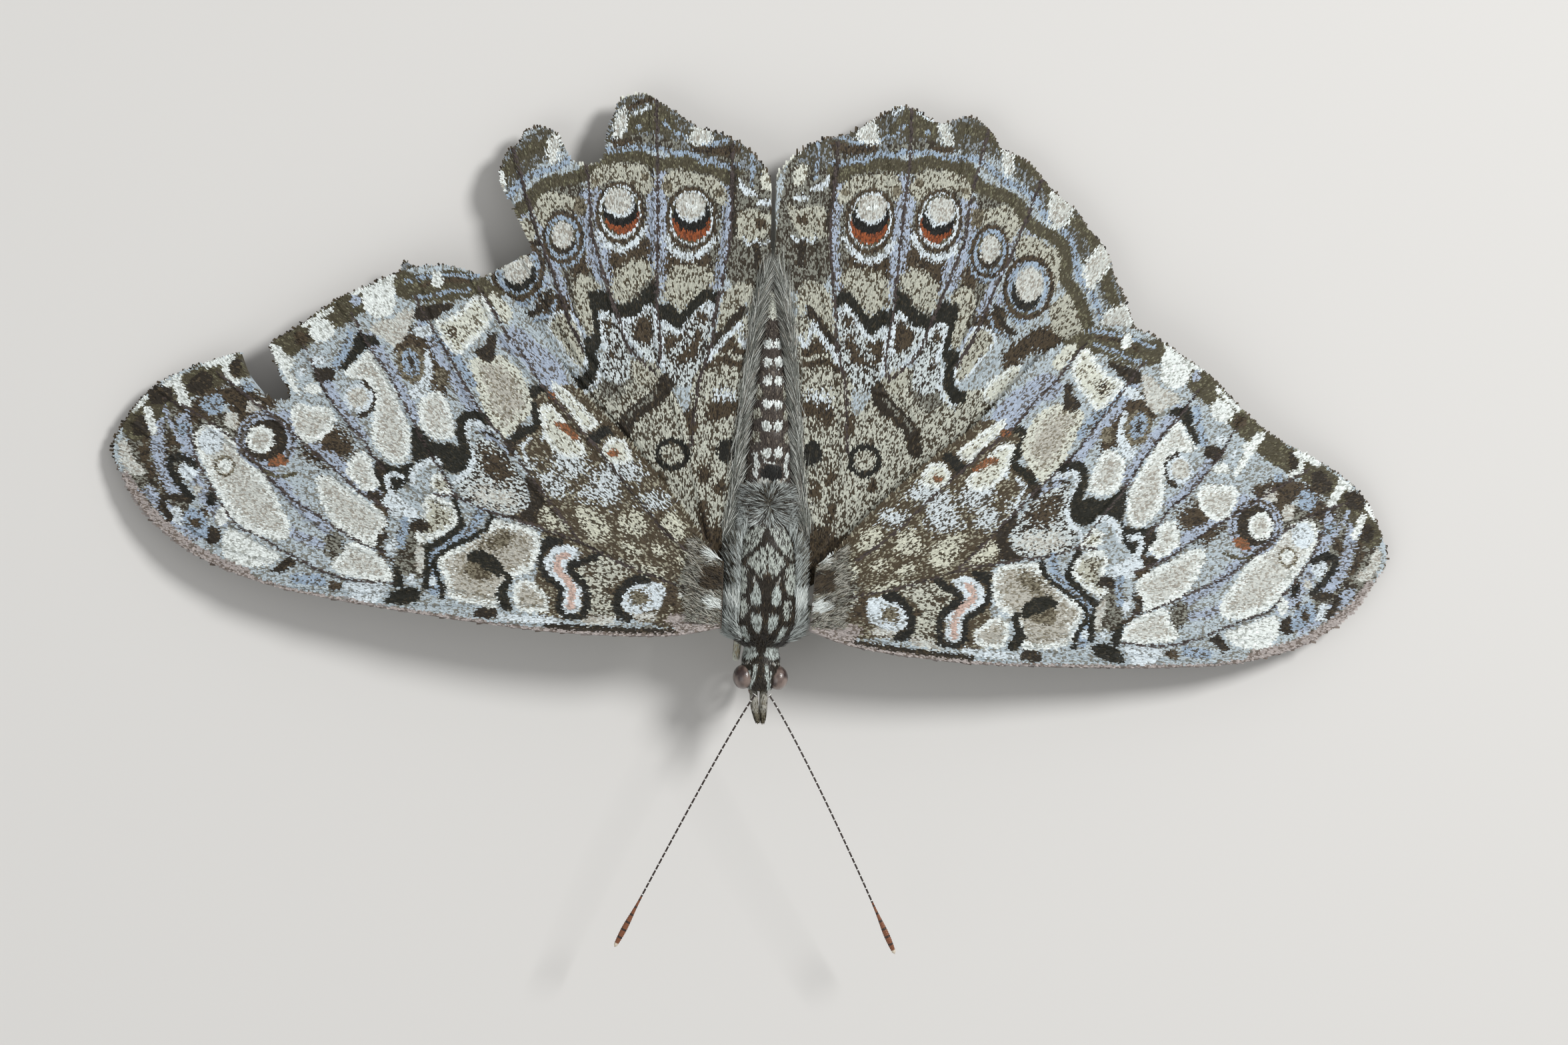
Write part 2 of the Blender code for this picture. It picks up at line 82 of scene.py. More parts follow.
HINDWING_OUTER = [(22.8, 14.6), (22.2, 16.8), (21.4, 18.4), (20.9, 20.0), (19.6, 21.4), (18.9, 22.4),
                  (17.4, 23.5), (15.9, 25.1), (14.2, 25.9), (13.4, 27.0), (12.3, 27.7), (10.4, 27.2),
                  (8.9, 27.9), (7.8, 28.1), (6.2, 27.2), (4.6, 26.2), (3.2, 25.9), (1.8, 25.2),
                  (0.7, 24.1)]
HINDWING_INNER = [(0.15, 23.0), (0.15, 20.0), (0.15, 17.8), (0.8, 16.2), (1.12, 14.2), (1.3, 12.6),
                  (1.48, 10.8), (1.68, 9.0), (1.9, 7.2), (2.02, 5.4), (2.02, 3.6), (WING_ROOT, 2.0)]
FOREWING_TEAR = [(31.6, 11.6), (31.1, 10.4), (30.3, 9.4), (29.7, 8.8), (28.7, 8.8), (28.5, 9.3),
                 (29.1, 10.4), (29.8, 12.2)]
HINDWING_TEARS = [
    [(18.2, 15.6), (16.8, 16.8), (15.5, 17.6), (14.3, 18.2), (14.6, 19.2), (15.4, 20.8), (16.3, 22.6),
     (16.0, 24.2), (15.2, 24.9)],
    [(13.2, 25.6), (12.3, 24.0), (11.6, 23.6), (10.3, 24.0), (10.0, 25.7), (9.5, 27.1)],
]
FOREWING_VEINS = [
    [(3.4, -3.1), (8.0, -3.7), (14.0, -3.8), (18.7, -3.8)],
    [(3.4, -2.6), (10.0, -2.9), (14.5, -2.6), (19.0, -1.9), (25.0, -1.6), (31.4, 1.1), (34.6, 4.6),
     (38.0, 7.4)],
    [(14.5, -2.6), (19.5, -2.9), (25.0, -3.0)],
    [(19.0, -1.9), (24.5, -2.3), (30.0, -2.0)],
    [(27.0, -0.8), (32.6, 0.2), (38.4, 4.4)],
    [(19.0, -1.9), (20.2, 0.6), (20.5, 3.6)],
    [(3.4, -1.8), (6.1, -0.8), (11.3, 1.2), (17.8, 2.8), (20.5, 3.6), (24.0, 6.2), (27.0, 10.2),
     (28.4, 13.1)],
    [(20.0, 0.2), (23.5, 0.0), (27.1, 1.8), (31.0, 5.4), (36.5, 9.4)],
    [(20.4, 1.8), (23.6, 2.7), (28.5, 6.9), (33.6, 10.9)],
    [(17.8, 2.8), (21.2, 7.6), (24.1, 12.3), (26.0, 14.9)],
    [(11.3, 1.2), (15.4, 5.8), (18.7, 10.5), (21.4, 17.0)],
    [(3.4, -1.2), (7.0, 3.0), (12.0, 8.3), (16.1, 13.0), (18.2, 16.8)],
]
HINDWING_VEINS = [
    [(3.4, 0.4), (8.0, 4.2), (15.0, 8.4), (22.7, 14.6)],
    [(3.4, 0.9), (6.4, 5.2), (9.4, 8.8), (14.2, 13.4), (21.4, 18.4)],
    [(9.4, 8.8), (13.0, 14.6), (16.0, 19.6), (18.9, 22.4)],
    [(8.8, 10.0), (11.4, 13.2), (12.6, 15.6), (14.1, 19.6), (15.9, 25.1)],
    [(9.4, 8.8), (8.2, 10.4), (6.3, 10.8)],
    [(3.4, 1.5), (4.6, 6.0), (6.3, 10.8), (9.0, 13.9), (10.3, 17.4), (11.2, 20.8), (12.3, 27.7)],
    [(6.3, 10.8), (6.9, 13.4), (7.1, 17.0), (7.2, 22.0), (7.4, 28.1)],
    [(4.6, 6.0), (4.3, 10.6), (3.5, 15.0), (2.9, 19.0), (2.5, 25.5)],
]

MIDLINE = (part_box("thorax")[0].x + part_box("thorax")[1].x) / 2 / MM
FORE_AND_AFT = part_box("abdomen")[0].y / MM - ABDOMEN_START


def in_place(points):
    """Plan points in millimetres, x to the animal's left, as world points in metres."""
    return (np.asarray(points, float) + (MIDLINE, FORE_AND_AFT, 0.0)) * MM


def smooth_line(points, pitch, closed=False):
    """Points about one pitch apart on a smooth curve through the given ones."""
    given = np.array(points, float)
    if closed:
        padded = np.vstack([given[-1:], given, given[:2]])
    else:
        padded = np.vstack([2 * given[0] - given[1], given, 2 * given[-1] - given[-2]])
    runs = []
    for before, start, end, after in zip(padded, padded[1:], padded[2:], padded[3:]):
        steps = max(1, round(float(np.linalg.norm(end - start)) / pitch))
        t = np.arange(steps)[:, None] / steps
        runs.append(0.5 * (2 * start + (end - before) * t
                           + (2 * before - 5 * start + 4 * end - after) * t ** 2
                           + (3 * start - before - 3 * end + after) * t ** 3))
    if not closed:
        runs.append(given[-1:])
    return np.vstack(runs)


def distance_to_line(places, line):
    """The shortest distance in plan from each place to a run of straight pieces."""
    nearest = np.full(len(places), FAR)
    for start, end in zip(line[:-1], line[1:]):
        run = end - start
        share = np.clip((places - start) @ run / max(float(run @ run), 1e-12), 0.0, 1.0)
        away = places - start - share[:, None] * run
        nearest = np.minimum(nearest, np.hypot(away[:, 0], away[:, 1]))
    return nearest


def inside(places, outline):
    """Which places lie within the closed outline."""
    within = np.zeros(len(places), bool)
    for (x1, y1), (x2, y2) in zip(outline, np.roll(outline, -1, axis=0)):
        if y1 != y2:
            crossed = (y1 > places[:, 1]) != (y2 > places[:, 1])
            within ^= crossed & (places[:, 0] < x1 + (places[:, 1] - y1) * (x2 - x1) / (y2 - y1))
    return within


def swung(points, degrees):
    """Plan points turned about the forewing's hinge, forward for a positive angle."""
    turn = radians(degrees)
    off = np.asarray(points, float) - FOREWING_HINGE
    return np.stack([FOREWING_HINGE[0] + off[:, 0] * cos(turn) + off[:, 1] * sin(turn),
                     FOREWING_HINGE[1] + off[:, 1] * cos(turn) - off[:, 0] * sin(turn)], axis=1)


def with_tear(margin, tear):
    """The margin with the stretch between the tear's two ends replaced by the tear."""
    first, last = (int(np.argmin(np.linalg.norm(margin - end, axis=1))) for end in (tear[0], tear[-1]))
    return np.vstack([margin[:first], smooth_line(tear, MARGIN_PITCH), margin[last + 1:]])


def vein_half_width(out):
    """Half the width of a vein's ridge, which narrows from the root to the tip."""
    return np.interp(out, (3.0, 30.0), VEIN_HALF_WIDTHS)


class Wing:
    """One wing's plan and relief. Places on it run outward from the midline and toward the tail.

    The scales point away from its lie centre. Its marks are looked up at the pattern places.
    """

    def __init__(self, name, side, lift, margin, veins, lie_centre, pattern_places):
        self.name = name
        self.kind, self.word = name.split("_")
        self.pattern_places = pattern_places
        self.side = side
        self.lift = lift
        self.margin = margin
        self.border = np.vstack([margin, margin[:1]])
        self.veins = [smooth_line(vein, VEIN_PITCH) for vein in veins]
        self.lie_centre = np.array(lie_centre)
        self.low = margin.min(axis=0) - RELIEF_BORDER
        wide, long = (margin.max(axis=0) + RELIEF_BORDER - self.low) / RELIEF_PITCH
        columns, rows = np.meshgrid(np.arange(int(wide) + 2), np.arange(int(long) + 2), indexing="ij")
        spots = self.low + RELIEF_PITCH * np.stack([columns.ravel(), rows.ravel()], axis=1)
        self.grid = self.shape_at(spots).reshape(columns.shape)

    def shape_at(self, places):
        """Height of the membrane's upper face, with its droop, its veins and the sag between them."""
        out, along = places[:, 0], places[:, 1]
        height = (ROOT_HEIGHT - DROOP[0] * out - DROOP[1] * out ** 2
                  - TAIL_DROP * np.maximum(0.0, along) ** 2 + self.lift + MEMBRANE_TOP)
        away = np.full(len(places), FAR)
        for vein in self.veins:
            away = np.minimum(away, distance_to_line(places, vein))
        ridge = np.clip(1.0 - (away / vein_half_width(out)) ** 2, 0.0, 1.0) ** 1.5
        return height + VEIN_RISE * ridge - CELL_SAG * (1.0 - np.exp(-(away / CELL_SAG_REACH) ** 2))

    def height(self, places):
        """The same height, read quickly from a fine grid."""
        at = (places - self.low) / RELIEF_PITCH
        at = np.clip(at, 0.0, np.array(self.grid.shape) - 1.001)
        column, row = at.astype(int).T
        x, y = (at - np.stack([column, row], axis=1)).T
        grid = self.grid
        return ((grid[column, row] * (1 - x) + grid[column + 1, row] * x) * (1 - y)
                + (grid[column, row + 1] * (1 - x) + grid[column + 1, row + 1] * x) * y)

    def solid(self, places, above=0.0):
        """Plan places as points in millimetres on the membrane's upper face, or above it."""
        return np.column_stack([self.side * places[:, 0], places[:, 1], self.height(places) + above])

    def plan(self, points):
        """The plan places of points in millimetres."""
        return np.column_stack([self.side * points[:, 0], points[:, 1]])


forewing_margin = smooth_line(FOREWING_COSTA + FOREWING_OUTER + FOREWING_HIND, MARGIN_PITCH)
hindwing_margin = smooth_line(HINDWING_COSTA + HINDWING_OUTER + HINDWING_INNER, MARGIN_PITCH)
torn_hindwing = hindwing_margin
for tear in HINDWING_TEARS:
    torn_hindwing = with_tear(torn_hindwing, np.array(tear))
swung_margin = swung(forewing_margin, FOREWING_SWING)
swung_margin[:, 0] = np.maximum(swung_margin[:, 0], WING_ROOT)
FOREWING_LIE = (-1.0, -3.0)
HINDWING_LIE = (3.5, -4.0)


def unmoved(places):
    """The marks are traced on the right wings, so these stay where they are."""
    return places


def swung_back(places):
    """The left forewing is swung forward, and its marks with it."""
    return swung(places, -FOREWING_SWING)


def shifted_back(places):
    """The left hindwing is stretched a little further out, so its marks lie further out and back."""
    share = np.clip((places[:, 1] / 21.0) ** 2, 0.0, 1.4)[:, None]
    return places - share * (1.0, 0.35)


wings = [
    Wing("forewing_right", -1, FOREWING_LIFT, with_tear(forewing_margin, np.array(FOREWING_TEAR)),
         FOREWING_VEINS, FOREWING_LIE, unmoved),
    Wing("forewing_left", 1, FOREWING_LIFT, swung_margin,
         [swung(vein, FOREWING_SWING) for vein in FOREWING_VEINS], FOREWING_LIE, swung_back),
    Wing("hindwing_right", -1, 0.0, torn_hindwing, HINDWING_VEINS, HINDWING_LIE, unmoved),
    Wing("hindwing_left", 1, 0.0, hindwing_margin, HINDWING_VEINS, HINDWING_LIE, shifted_back),
]

# Colours of the scales
# Every mark on the wings and body is a mosaic of single scales, each of one plain colour. A paint is a main
# colour, a second one for stray scales, and the share of those, so that edges and fields come out grainy.
PAINTS = {
    "cream": ((206, 209, 197), (106, 100, 84), 0.24),
    "white": ((224, 230, 227), (164, 168, 162), 0.2),
    "grey": ((197, 200, 194), (158, 154, 144), 0.32),
    "beige": ((180, 181, 167), (76, 68, 52), 0.32),
    "tan": ((122, 116, 98), (72, 64, 48), 0.45),
    "ice": ((210, 220, 225), (130, 134, 132), 0.18),
    "blue": ((150, 168, 186), (78, 74, 66), 0.3),
    "lavender": ((164, 176, 193), (90, 86, 82), 0.26),
    "mist": ((174, 186, 192), (120, 120, 112), 0.32),
    "haze": ((128, 129, 119), (54, 47, 36), 0.52),
    "pepper": ((196, 205, 205), (48, 41, 32), 0.4),
    "olive": ((72, 67, 50), (108, 106, 84), 0.14),
    "brown": ((72, 61, 45), (40, 33, 24), 0.3),
    "dark": ((42, 36, 27), (72, 62, 46), 0.14),
    "black": ((28, 28, 23), (50, 46, 36), 0.14),
    "soot": ((14, 15, 12), (30, 28, 23), 0.2),
    "rust": ((142, 92, 60), (100, 74, 52), 0.45),
    "orange": ((140, 74, 38), (96, 50, 27), 0.3),
    "salmon": ((200, 174, 162), (168, 150, 140), 0.25),
    "costa": ((164, 156, 152), (112, 102, 94), 0.3),
    "vein": ((70, 61, 58), (48, 41, 38), 0.3),
    "blotch": ((28, 28, 20), (52, 47, 34), 0.14),
    "back": ((64, 56, 50), (98, 90, 80), 0.2),
    "stone": ((178, 176, 166), (130, 124, 108), 0.3),
    "speckle": ((188, 190, 177), (68, 60, 46), 0.42),
    "straw": ((200, 201, 184), (70, 62, 46), 0.32),
    "frost": ((202, 211, 214), (68, 64, 56), 0.34),
    "rim": ((74, 70, 56), (130, 138, 144), 0.26),
    "umber": ((72, 62, 46), (150, 147, 128), 0.22),
    "fleck": ((190, 197, 189), (48, 43, 36), 0.36),
    "pale": ((196, 205, 200), (104, 106, 100), 0.26),
    "down": ((180, 187, 184), (100, 102, 98), 0.3),
    "strand": ((116, 119, 112), (74, 73, 67), 0.35),
}
TONE_SPREAD = 0.1
FLECK_SIZE = (0.1, 0.17)
FLECK_CELLS = 500
FLECK_SHARE = 0.6
OUTLINE_PITCH = 0.5
EDGE = 0.05


def linear(colour):
    """sRGB from 0 to 255 as linear light."""
    part = np.asarray(colour, float) / 255.0
    return np.where(part <= 0.04045, part / 12.92, ((part + 0.055) / 1.055) ** 2.4)


def points_of(text):
    """Places written as 'out,along out,along', the way a vector drawing lists them."""
    return np.array([[float(part) for part in pair.split(",")] for pair in text.split()])


class Mosaic:
    """The colours of many scales, painted mark over mark by where each scale lies.

    A mark's edge is as soft as its scales stray across it.
    """

    def __init__(self, places, rng):
        self.places = places
        self.shake = rng.standard_normal(places.shape)
        # Most scales stray together with their neighbours, which makes small flecks.
        column, row = np.floor(places / FLECK_SIZE).astype(int).T % FLECK_CELLS
        together = rng.random((FLECK_CELLS, FLECK_CELLS))[column, row]
        self.stray = np.where(rng.random(len(places)) < FLECK_SHARE, together, rng.random(len(places)))
        self.tone = 1.0 + TONE_SPREAD * rng.standard_normal(len(places))
        self.colours = np.zeros((len(places), 3))

    def fill(self, chosen, paint):
        """Gives the chosen scales the paint's main colour, or its second one where they are stray."""
        main, other, share = PAINTS[paint]
        stray = self.stray[chosen] < share
        self.colours[chosen] = np.where(stray[:, None], linear(other), linear(main))

    def ground(self, paint):
        self.fill(np.arange(len(self.places)), paint)

    def near(self, line, reach, soft):
        """Which scales lie in the box round a line, widened by the reach, and where they stray to."""
        places = self.places + soft * self.shake
        low, high = line.min(axis=0) - reach, line.max(axis=0) + reach
        chosen = np.flatnonzero(((places > low) & (places < high)).all(axis=1))
        return chosen, places[chosen]

    def patch(self, paint, text, rim=None, rim_width=0.3, soft=EDGE):
        """Closed marks with rounded corners, a slash between them, rimmed where a rim's paint is named."""
        for part in text.split("/"):
            outline = smooth_line(points_of(part), OUTLINE_PITCH, closed=True)
            chosen, places = self.near(outline, 0.1, soft)
            within = inside(places, outline)
            chosen, places = chosen[within], places[within]
            self.fill(chosen, paint)
            if rim and len(chosen):
                reach = rim_width * (0.55 + 0.6 * np.abs(self.shake[chosen, 0]))
                edge = distance_to_line(places, np.vstack([outline, outline[:1]])) < reach
                self.fill(chosen[edge], rim)

    def line(self, paint, width, text, soft=EDGE):
        """Marks of even width along smooth lines, with a slash between one line and the next."""
        for part in text.split("/"):
            run = smooth_line(points_of(part), OUTLINE_PITCH)
            chosen, places = self.near(run, width, soft)
            self.fill(chosen[distance_to_line(places, run) < width / 2], paint)

    def spot(self, paint, out, along, wide, high, lean=0.0, soft=EDGE):
        """An oval mark, in half sizes, with its long axis leaned outward by some degrees."""
        turn = radians(lean)
        off = self.places + soft * self.shake - (out, along)
        x = off[:, 0] * cos(turn) - off[:, 1] * sin(turn)
        y = off[:, 0] * sin(turn) + off[:, 1] * cos(turn)
        self.fill(np.flatnonzero((x / wide) ** 2 + (y / high) ** 2 < 1.0), paint)

    def spots(self, paint, wide, high, text, soft=EDGE):
        """The same oval mark at several places."""
        for out, along in points_of(text):
            self.spot(paint, out, along, wide, high, soft=soft)

    def ring(self, paint, out, along, wide, high, width, soft=EDGE):
        """An oval line: the half sizes are its outer ones."""
        x, y = (self.places + soft * self.shake - (out, along)).T
        outer = (x / wide) ** 2 + (y / high) ** 2 < 1.0
        inner = (x / (wide - width)) ** 2 + (y / (high - width)) ** 2 < 1.0
        self.fill(np.flatnonzero(outer & ~inner), paint)

    def finished(self):
        """The linear colour of every scale, each a little lighter or darker than its paint."""
        return np.clip(self.colours * self.tone[:, None], 0.0, 1.0)


# Forewing markings
# Pale blobs with white rims lie between the veins on speckled brown and blue-grey, with a black and salmon S
# across the cell, a double line beyond it, arches on the trailing side and an eye spot near the tip.


def mark_forewing(skin):
    skin.ground("mist")
    skin.patch("umber", "2,-3.9 9,-3.4 13.6,-3.3 13.6,1.6 15.5,2.3 14.4,3.2 14.3,4.8 15.4,7 14,8 14.3,10 "
               "12.6,10.6 9,8.2 2,0.5")
    skin.patch("haze", "20.4,-1.4 22,-0.9 22.1,1.3 20.9,1.4 20.4,0.4")
    skin.patch("haze", "25.3,-0.9 25.9,-0.6 26.5,0.4 26.1,1.1 25.3,0.9", soft=0.15)
    skin.patch("brown", "22,-0.8 22.9,0.4 22.6,2.2 22.8,3.6 23.6,3.4 23.2,1 23,-0.2", soft=0.1)
    skin.patch("brown", "24.8,6 26.4,4.9 28,6 27.2,7.4 25.6,7.4 / 19.4,9.4 20.4,10 22,12.6 21.2,13.6 "
               "19.6,12", soft=0.25)
    skin.patch("olive", "18,15.9 19,15.3 20.4,14.9 22,15.3 22.8,15.9 21.4,16.4 19.6,16.4", soft=0.15)
    skin.line("lavender", 0.6, "26.2,1.3 27.8,2.5 29.4,4.2 31,6 / 26.6,0.4 28.2,1 29.6,2.6 / 25.6,5 "
              "27.4,6.4 29,8 / 23.4,3.4 24.6,4.2 26,5.6 / 18.2,9.4 19.6,11.4 21,13.8 / 21.2,8 22.4,10.4 "
              "24,12.8 / 16,6.2 17.8,8.6 18.8,10.2 / 12.2,9.4 14,11 15.4,12.8 / 28.6,3.6 30.4,5.2 32,6.8 / "
              "24.2,6.9 25.4,8.2 26.6,10.2", soft=0.08)
    skin.patch("haze", "31,7 35,8.8 37.6,7 38.3,4.2 36.6,2.2 34.4,1.6 34.6,5")
    skin.patch("brown", "29.4,8.7 30.6,9.3 32,9.6 33.6,9.4 34.2,8.4 33.4,7.5 32.4,8.6 31.6,7 31,7.9 30,8.1 "
               "/ 34,8.2 35,8.3 35.2,7.5 34.6,7.1 34,7.4", soft=0.12)
    skin.line("brown", 0.45, "34.6,6.3 35.6,6.2 36.2,4.6 35.8,3.4", soft=0.12)
    skin.line("brown", 0.35, "36.1,7.9 36.9,6.6 37,5.4 36.6,4.2", soft=0.1)
    skin.line("brown", 0.4, "33.2,3.3 33.4,2.4 33.6,1.4 34.4,0.7", soft=0.1)
    skin.line("lavender", 0.7, "32.4,1.6 33.6,3.2 34.5,5.4 34.8,7.6 / 35.2,3 36.2,5 36.4,7.4 / 33.9,0.6 "
              "35.6,2 36.8,3.2", soft=0.1)
    skin.line("olive", 1.5, "17,15.6 19,16.3 21.6,15.9 23,16.2 25.6,14.4 27.8,13 30.4,11.3 33.4,10.2 "
              "36.1,8.7 37.7,6.9")
    skin.line("blue", 0.22, "18.2,15.9 19.6,15.7 20.6,15.4 21.6,15.3")
    skin.line("brown", 0.3, "18.3,16.4 19.9,16.4 21,16")
    skin.line("blue", 0.22, "17.8,16.7 20.2,16.7 22,16.3")
    skin.line("white", 0.3, "22.8,16.5 24,15.8 25.2,15.4 / 26.4,14.4 27.9,13.4")
    # Leading edge
    skin.line("dark", 0.35, "3,-4 6,-4.1 9.5,-4.1 13,-4")
    skin.patch("costa", "3,-3.1 4.3,-3 5.9,-3.1 5.6,-3.9 4,-4.2 2.9,-3.9", soft=0.1)
    skin.patch("grey", "6.6,-3 8.1,-3.1 8.1,-3.4 6.6,-3.45 / 9,-3.3 10.9,-3.4 10.9,-3.8 9,-3.7", soft=0.1)
    skin.patch("ice", "12.2,-3.5 14,-3.45 16.2,-3.45 16.2,-3.7 14,-3.85 12.2,-3.8")
    skin.patch("dark", "16,-3.1 17.3,-3.1 17.4,-3.6 16,-3.7")
    skin.patch("grey", "4.3,-1.1 5.2,-1.1 5.3,-2 4.4,-2.1")
    skin.patch("brown", "5.4,-1.3 6,-1.3 6.1,-2.5 5.4,-2.6")
    # Black C near the root
    skin.patch("ice", "6.1,-1.4 7.4,-1.1 8.5,-1.5 8.7,-2.6 8.1,-3.1 6.9,-2.9 6.2,-2.5")
    skin.spot("tan", 7.6, -2.2, 0.6, 0.5, soft=0.14)
    skin.line("black", 0.56, "7.2,-1.05 7.9,-1.05 8.35,-1.4 8.85,-1.95 9,-2.6 8.7,-3.25 8.2,-3.4")
    # Grey field and the S across the cell
    skin.patch("speckle", "9.2,-1.4 9.3,-2.6 9,-3.2 10.6,-3.2 10.6,-2.4 10.5,-1.9 11.2,-1.1 11.4,-0.5 "
               "10.6,-0.1 9.9,0.2 8.4,0 8,-0.6 8.7,-1.1")
    skin.spots("brown", 0.28, 0.22, "10.6,-0.8 9.3,-1.8")
    skin.patch("ice", "11.1,0.44 12,0.89 12.67,0.72 13.1,0.28 13.5,-0.33 13.17,-0.94 12.67,-1.17 12.2,-1.6 "
               "12.06,-2.28 12.2,-2.94 11.8,-3.28 11.2,-3.17 11.06,-2.7 11.2,-2.3 10.9,-1.83 11.2,-1.5 "
               "11.7,-1.17 12,-0.6 11.9,-0.17 11.4,0.06")
    skin.line("salmon", 0.42, "12.05,0.25 12.5,0 12.55,-0.6 12.1,-1 11.6,-1.7 11.6,-2.3 11.7,-2.85")
    skin.line("black", 0.47, "10.2,0.28 10.9,-0.06 11.6,-0.28 11.8,-0.6 11.4,-1.06 10.9,-1.5 10.7,-2.06 "
              "10.7,-2.7 10.9,-3.3")
    skin.line("black", 0.38, "12.4,1.06 13.1,1.06 13.4,0.5 13.56,-0.17 13.3,-0.9 12.67,-1.4 12.3,-1.7 "
              "12.3,-2.3 12.4,-2.9 12,-3.4 11.2,-3.4")
    skin.patch("black", "12.6,0.7 13.3,0.5 13.6,1 13.2,1.4 12.6,1.2")
    # Cream patches on the brown trailing side of the cell
    skin.patch("straw", "5,1.6 5.1,2.3 5.5,2.8 6.1,2.9 6.5,2.5 6.5,1.9 6.1,1.5 5.5,1.3 / 7.2,1.9 7.5,2.7 "
               "8.2,3.1 8.6,2.7 9,2.4 9,1.9 8.4,1.6 7.7,1.5 / 9.6,1.3 9.6,2.2 10.1,2.8 10.9,3.2 11.6,3.2 "
               "11.5,2.6 11.2,1.9 10.9,1.3 10.2,1 / 12,1.6 12.3,2.3 12.9,2.9 13.6,3.1 13.7,2.5 13.3,2 "
               "12.7,1.6 / 7.4,0.4 8,1 8.7,1.2 8.8,0.7 8.2,0.3 / 6,0.5 6.4,1.1 6.9,1.1 6.9,0.6 6.5,0.3 / "
               "4.3,0.8 4.9,0.7 5.4,0.2 5.2,-0.2 4.6,0 4.2,0.4 / 5.9,-0.7 6.8,-0.4 7.8,0 8.5,0.1 8,-0.4 "
               "7,-0.8 / 4.3,-1.5 5,-1.4 5.3,-1.9 5,-2.3 4.3,-2.1", soft=0.12)
    skin.patch("frost", "5.9,3.4 6.1,4 7,4.1 8.1,4 7.9,3.5 7.2,3.2 6.4,3.2 / 9,3.6 9.1,5 9.9,5.6 10.6,5.2 "
               "10.8,4.3 11.8,4 11,3.6 9.9,3.3 / 7.4,5.1 8.4,6 9.8,6.2 9.9,5.5 9,4.9 8,4.7 / 10.8,5.2 "
               "11.4,6.3 12.9,6.6 13,5.8 12.2,5 11.5,4.9 / 12,4 12.3,4.9 13.3,5.2 13.8,4.7 13.3,3.9 "
               "12.6,3.6 / 13.8,5 14.2,5.9 14.7,5.8 14.4,5", soft=0.22)
    skin.patch("haze", "2.4,1 4,1 5.4,-1 4.4,-2.8 2.4,-3", soft=0.2)
    skin.patch("brown", "2.4,0.3 3.2,0.3 3.5,-0.5 3,-1.1 2.4,-1")
    skin.spot("white", 3.3, 0.7, 0.42, 0.42, soft=0.08)
    skin.spot("white", 3.2, -2.4, 0.42, 0.32, soft=0.08)
    # Blobs in the cell
    skin.patch("stone", "13,-3.1 13,-2.3 13.4,-1.9 14,-1.4 14.6,-1.3 15,-1.6 15.1,-2.2 15,-2.9 14.6,-3.2 "
               "13.6,-3.3", "white", 0.3)
    skin.patch("stone", "13.6,1.2 14.4,1.9 15.5,2.1 16.3,2.3 16.6,1.9 17,1.2 18,0.7 19,0.2 19.5,-0.1 "
               "19.65,-0.6 19.4,-1.1 19.1,-1.5 19.2,-2 18.7,-2.6 17.8,-2.8 16.9,-2.95 16.1,-3 15.2,-1.3 "
               "14.2,-0.9 13.8,-0.2", "white", 0.4)
    skin.patch("stone", "16,1.6 17.4,0.9 18.6,-0.6 18.4,-1.8 17.4,-2.4 16.6,-1.8 16,-0.4 15,0.6", soft=0.2)
    skin.patch("tan", "15.2,1.6 16.4,1.4 17.2,0.5 15.8,0.4", soft=0.2)
    skin.patch("tan", "16.2,-0.5 16.4,-1.3 17.8,-1.3 17.9,-0.5 17.2,-0.2")
    skin.patch("blotch", "15.7,-0.6 16.2,0 16.8,0.3 17.4,0.4 18,0 17.8,-0.3 17.3,-0.4 16.9,-0.8 16.5,-0.8 "
               "16,-1.3 15.7,-1 / 15.8,-0.9 15.6,-1.3 15.9,-1.8 16.2,-2.2 16,-2.8 15.6,-3.2 15.1,-3.2 "
               "15.2,-2.7 15.5,-2.2 15.3,-1.7 15.1,-1.3 15.4,-0.9")
    # Double line beyond the cell
    skin.line("blue", 0.6, "17.2,2.7 17.4,2 18,1.3 18.8,0.8 19.6,0.3 19.95,-0.3 19.8,-1.2 19.8,-2.2")
    skin.line("blotch", 0.31, "16.5,2.4 16.9,1.6 17.4,1.2 18.2,0.85 19,0.4 19.6,0 19.9,-0.5 19.7,-1.1 "
              "19.5,-1.5 19.3,-2 19.3,-2.5")
    skin.line("blotch", 0.44, "18.8,3.2 18.6,2.6 18.3,1.9 18.5,1.5 19.1,1.1 19.8,0.6 20.3,0.3 20.3,-0.5 "
              "20.2,-1.4 20.3,-1.9")
    skin.spots("ice", 0.2, 0.3, "19.9,-1.6 21.1,-1.5")
    skin.patch("beige", "18.5,2.2 18.8,3 19.4,3.4 20.4,3.55 20.7,3 20.6,2.3 21,1.3 20.9,0.9 20.6,0.6 "
               "20,0.9 19.2,1.3 18.5,1.9", "white", 0.35)
    skin.patch("dark", "20.1,1.5 20.6,1.3 21.4,1.5 21.3,2 20.6,2.1")
    skin.patch("beige", "18.8,3.9 19.2,4.5 19.7,4.9 20.2,4.6 20.2,3.9 19.6,3.6 19,3.6", "white", 0.25)
    skin.patch("grey", "20.5,0.3 20.8,0.7 21,0.2 20.9,-0.6 20.8,-1.1 20.5,-1.2 20.4,-0.6")
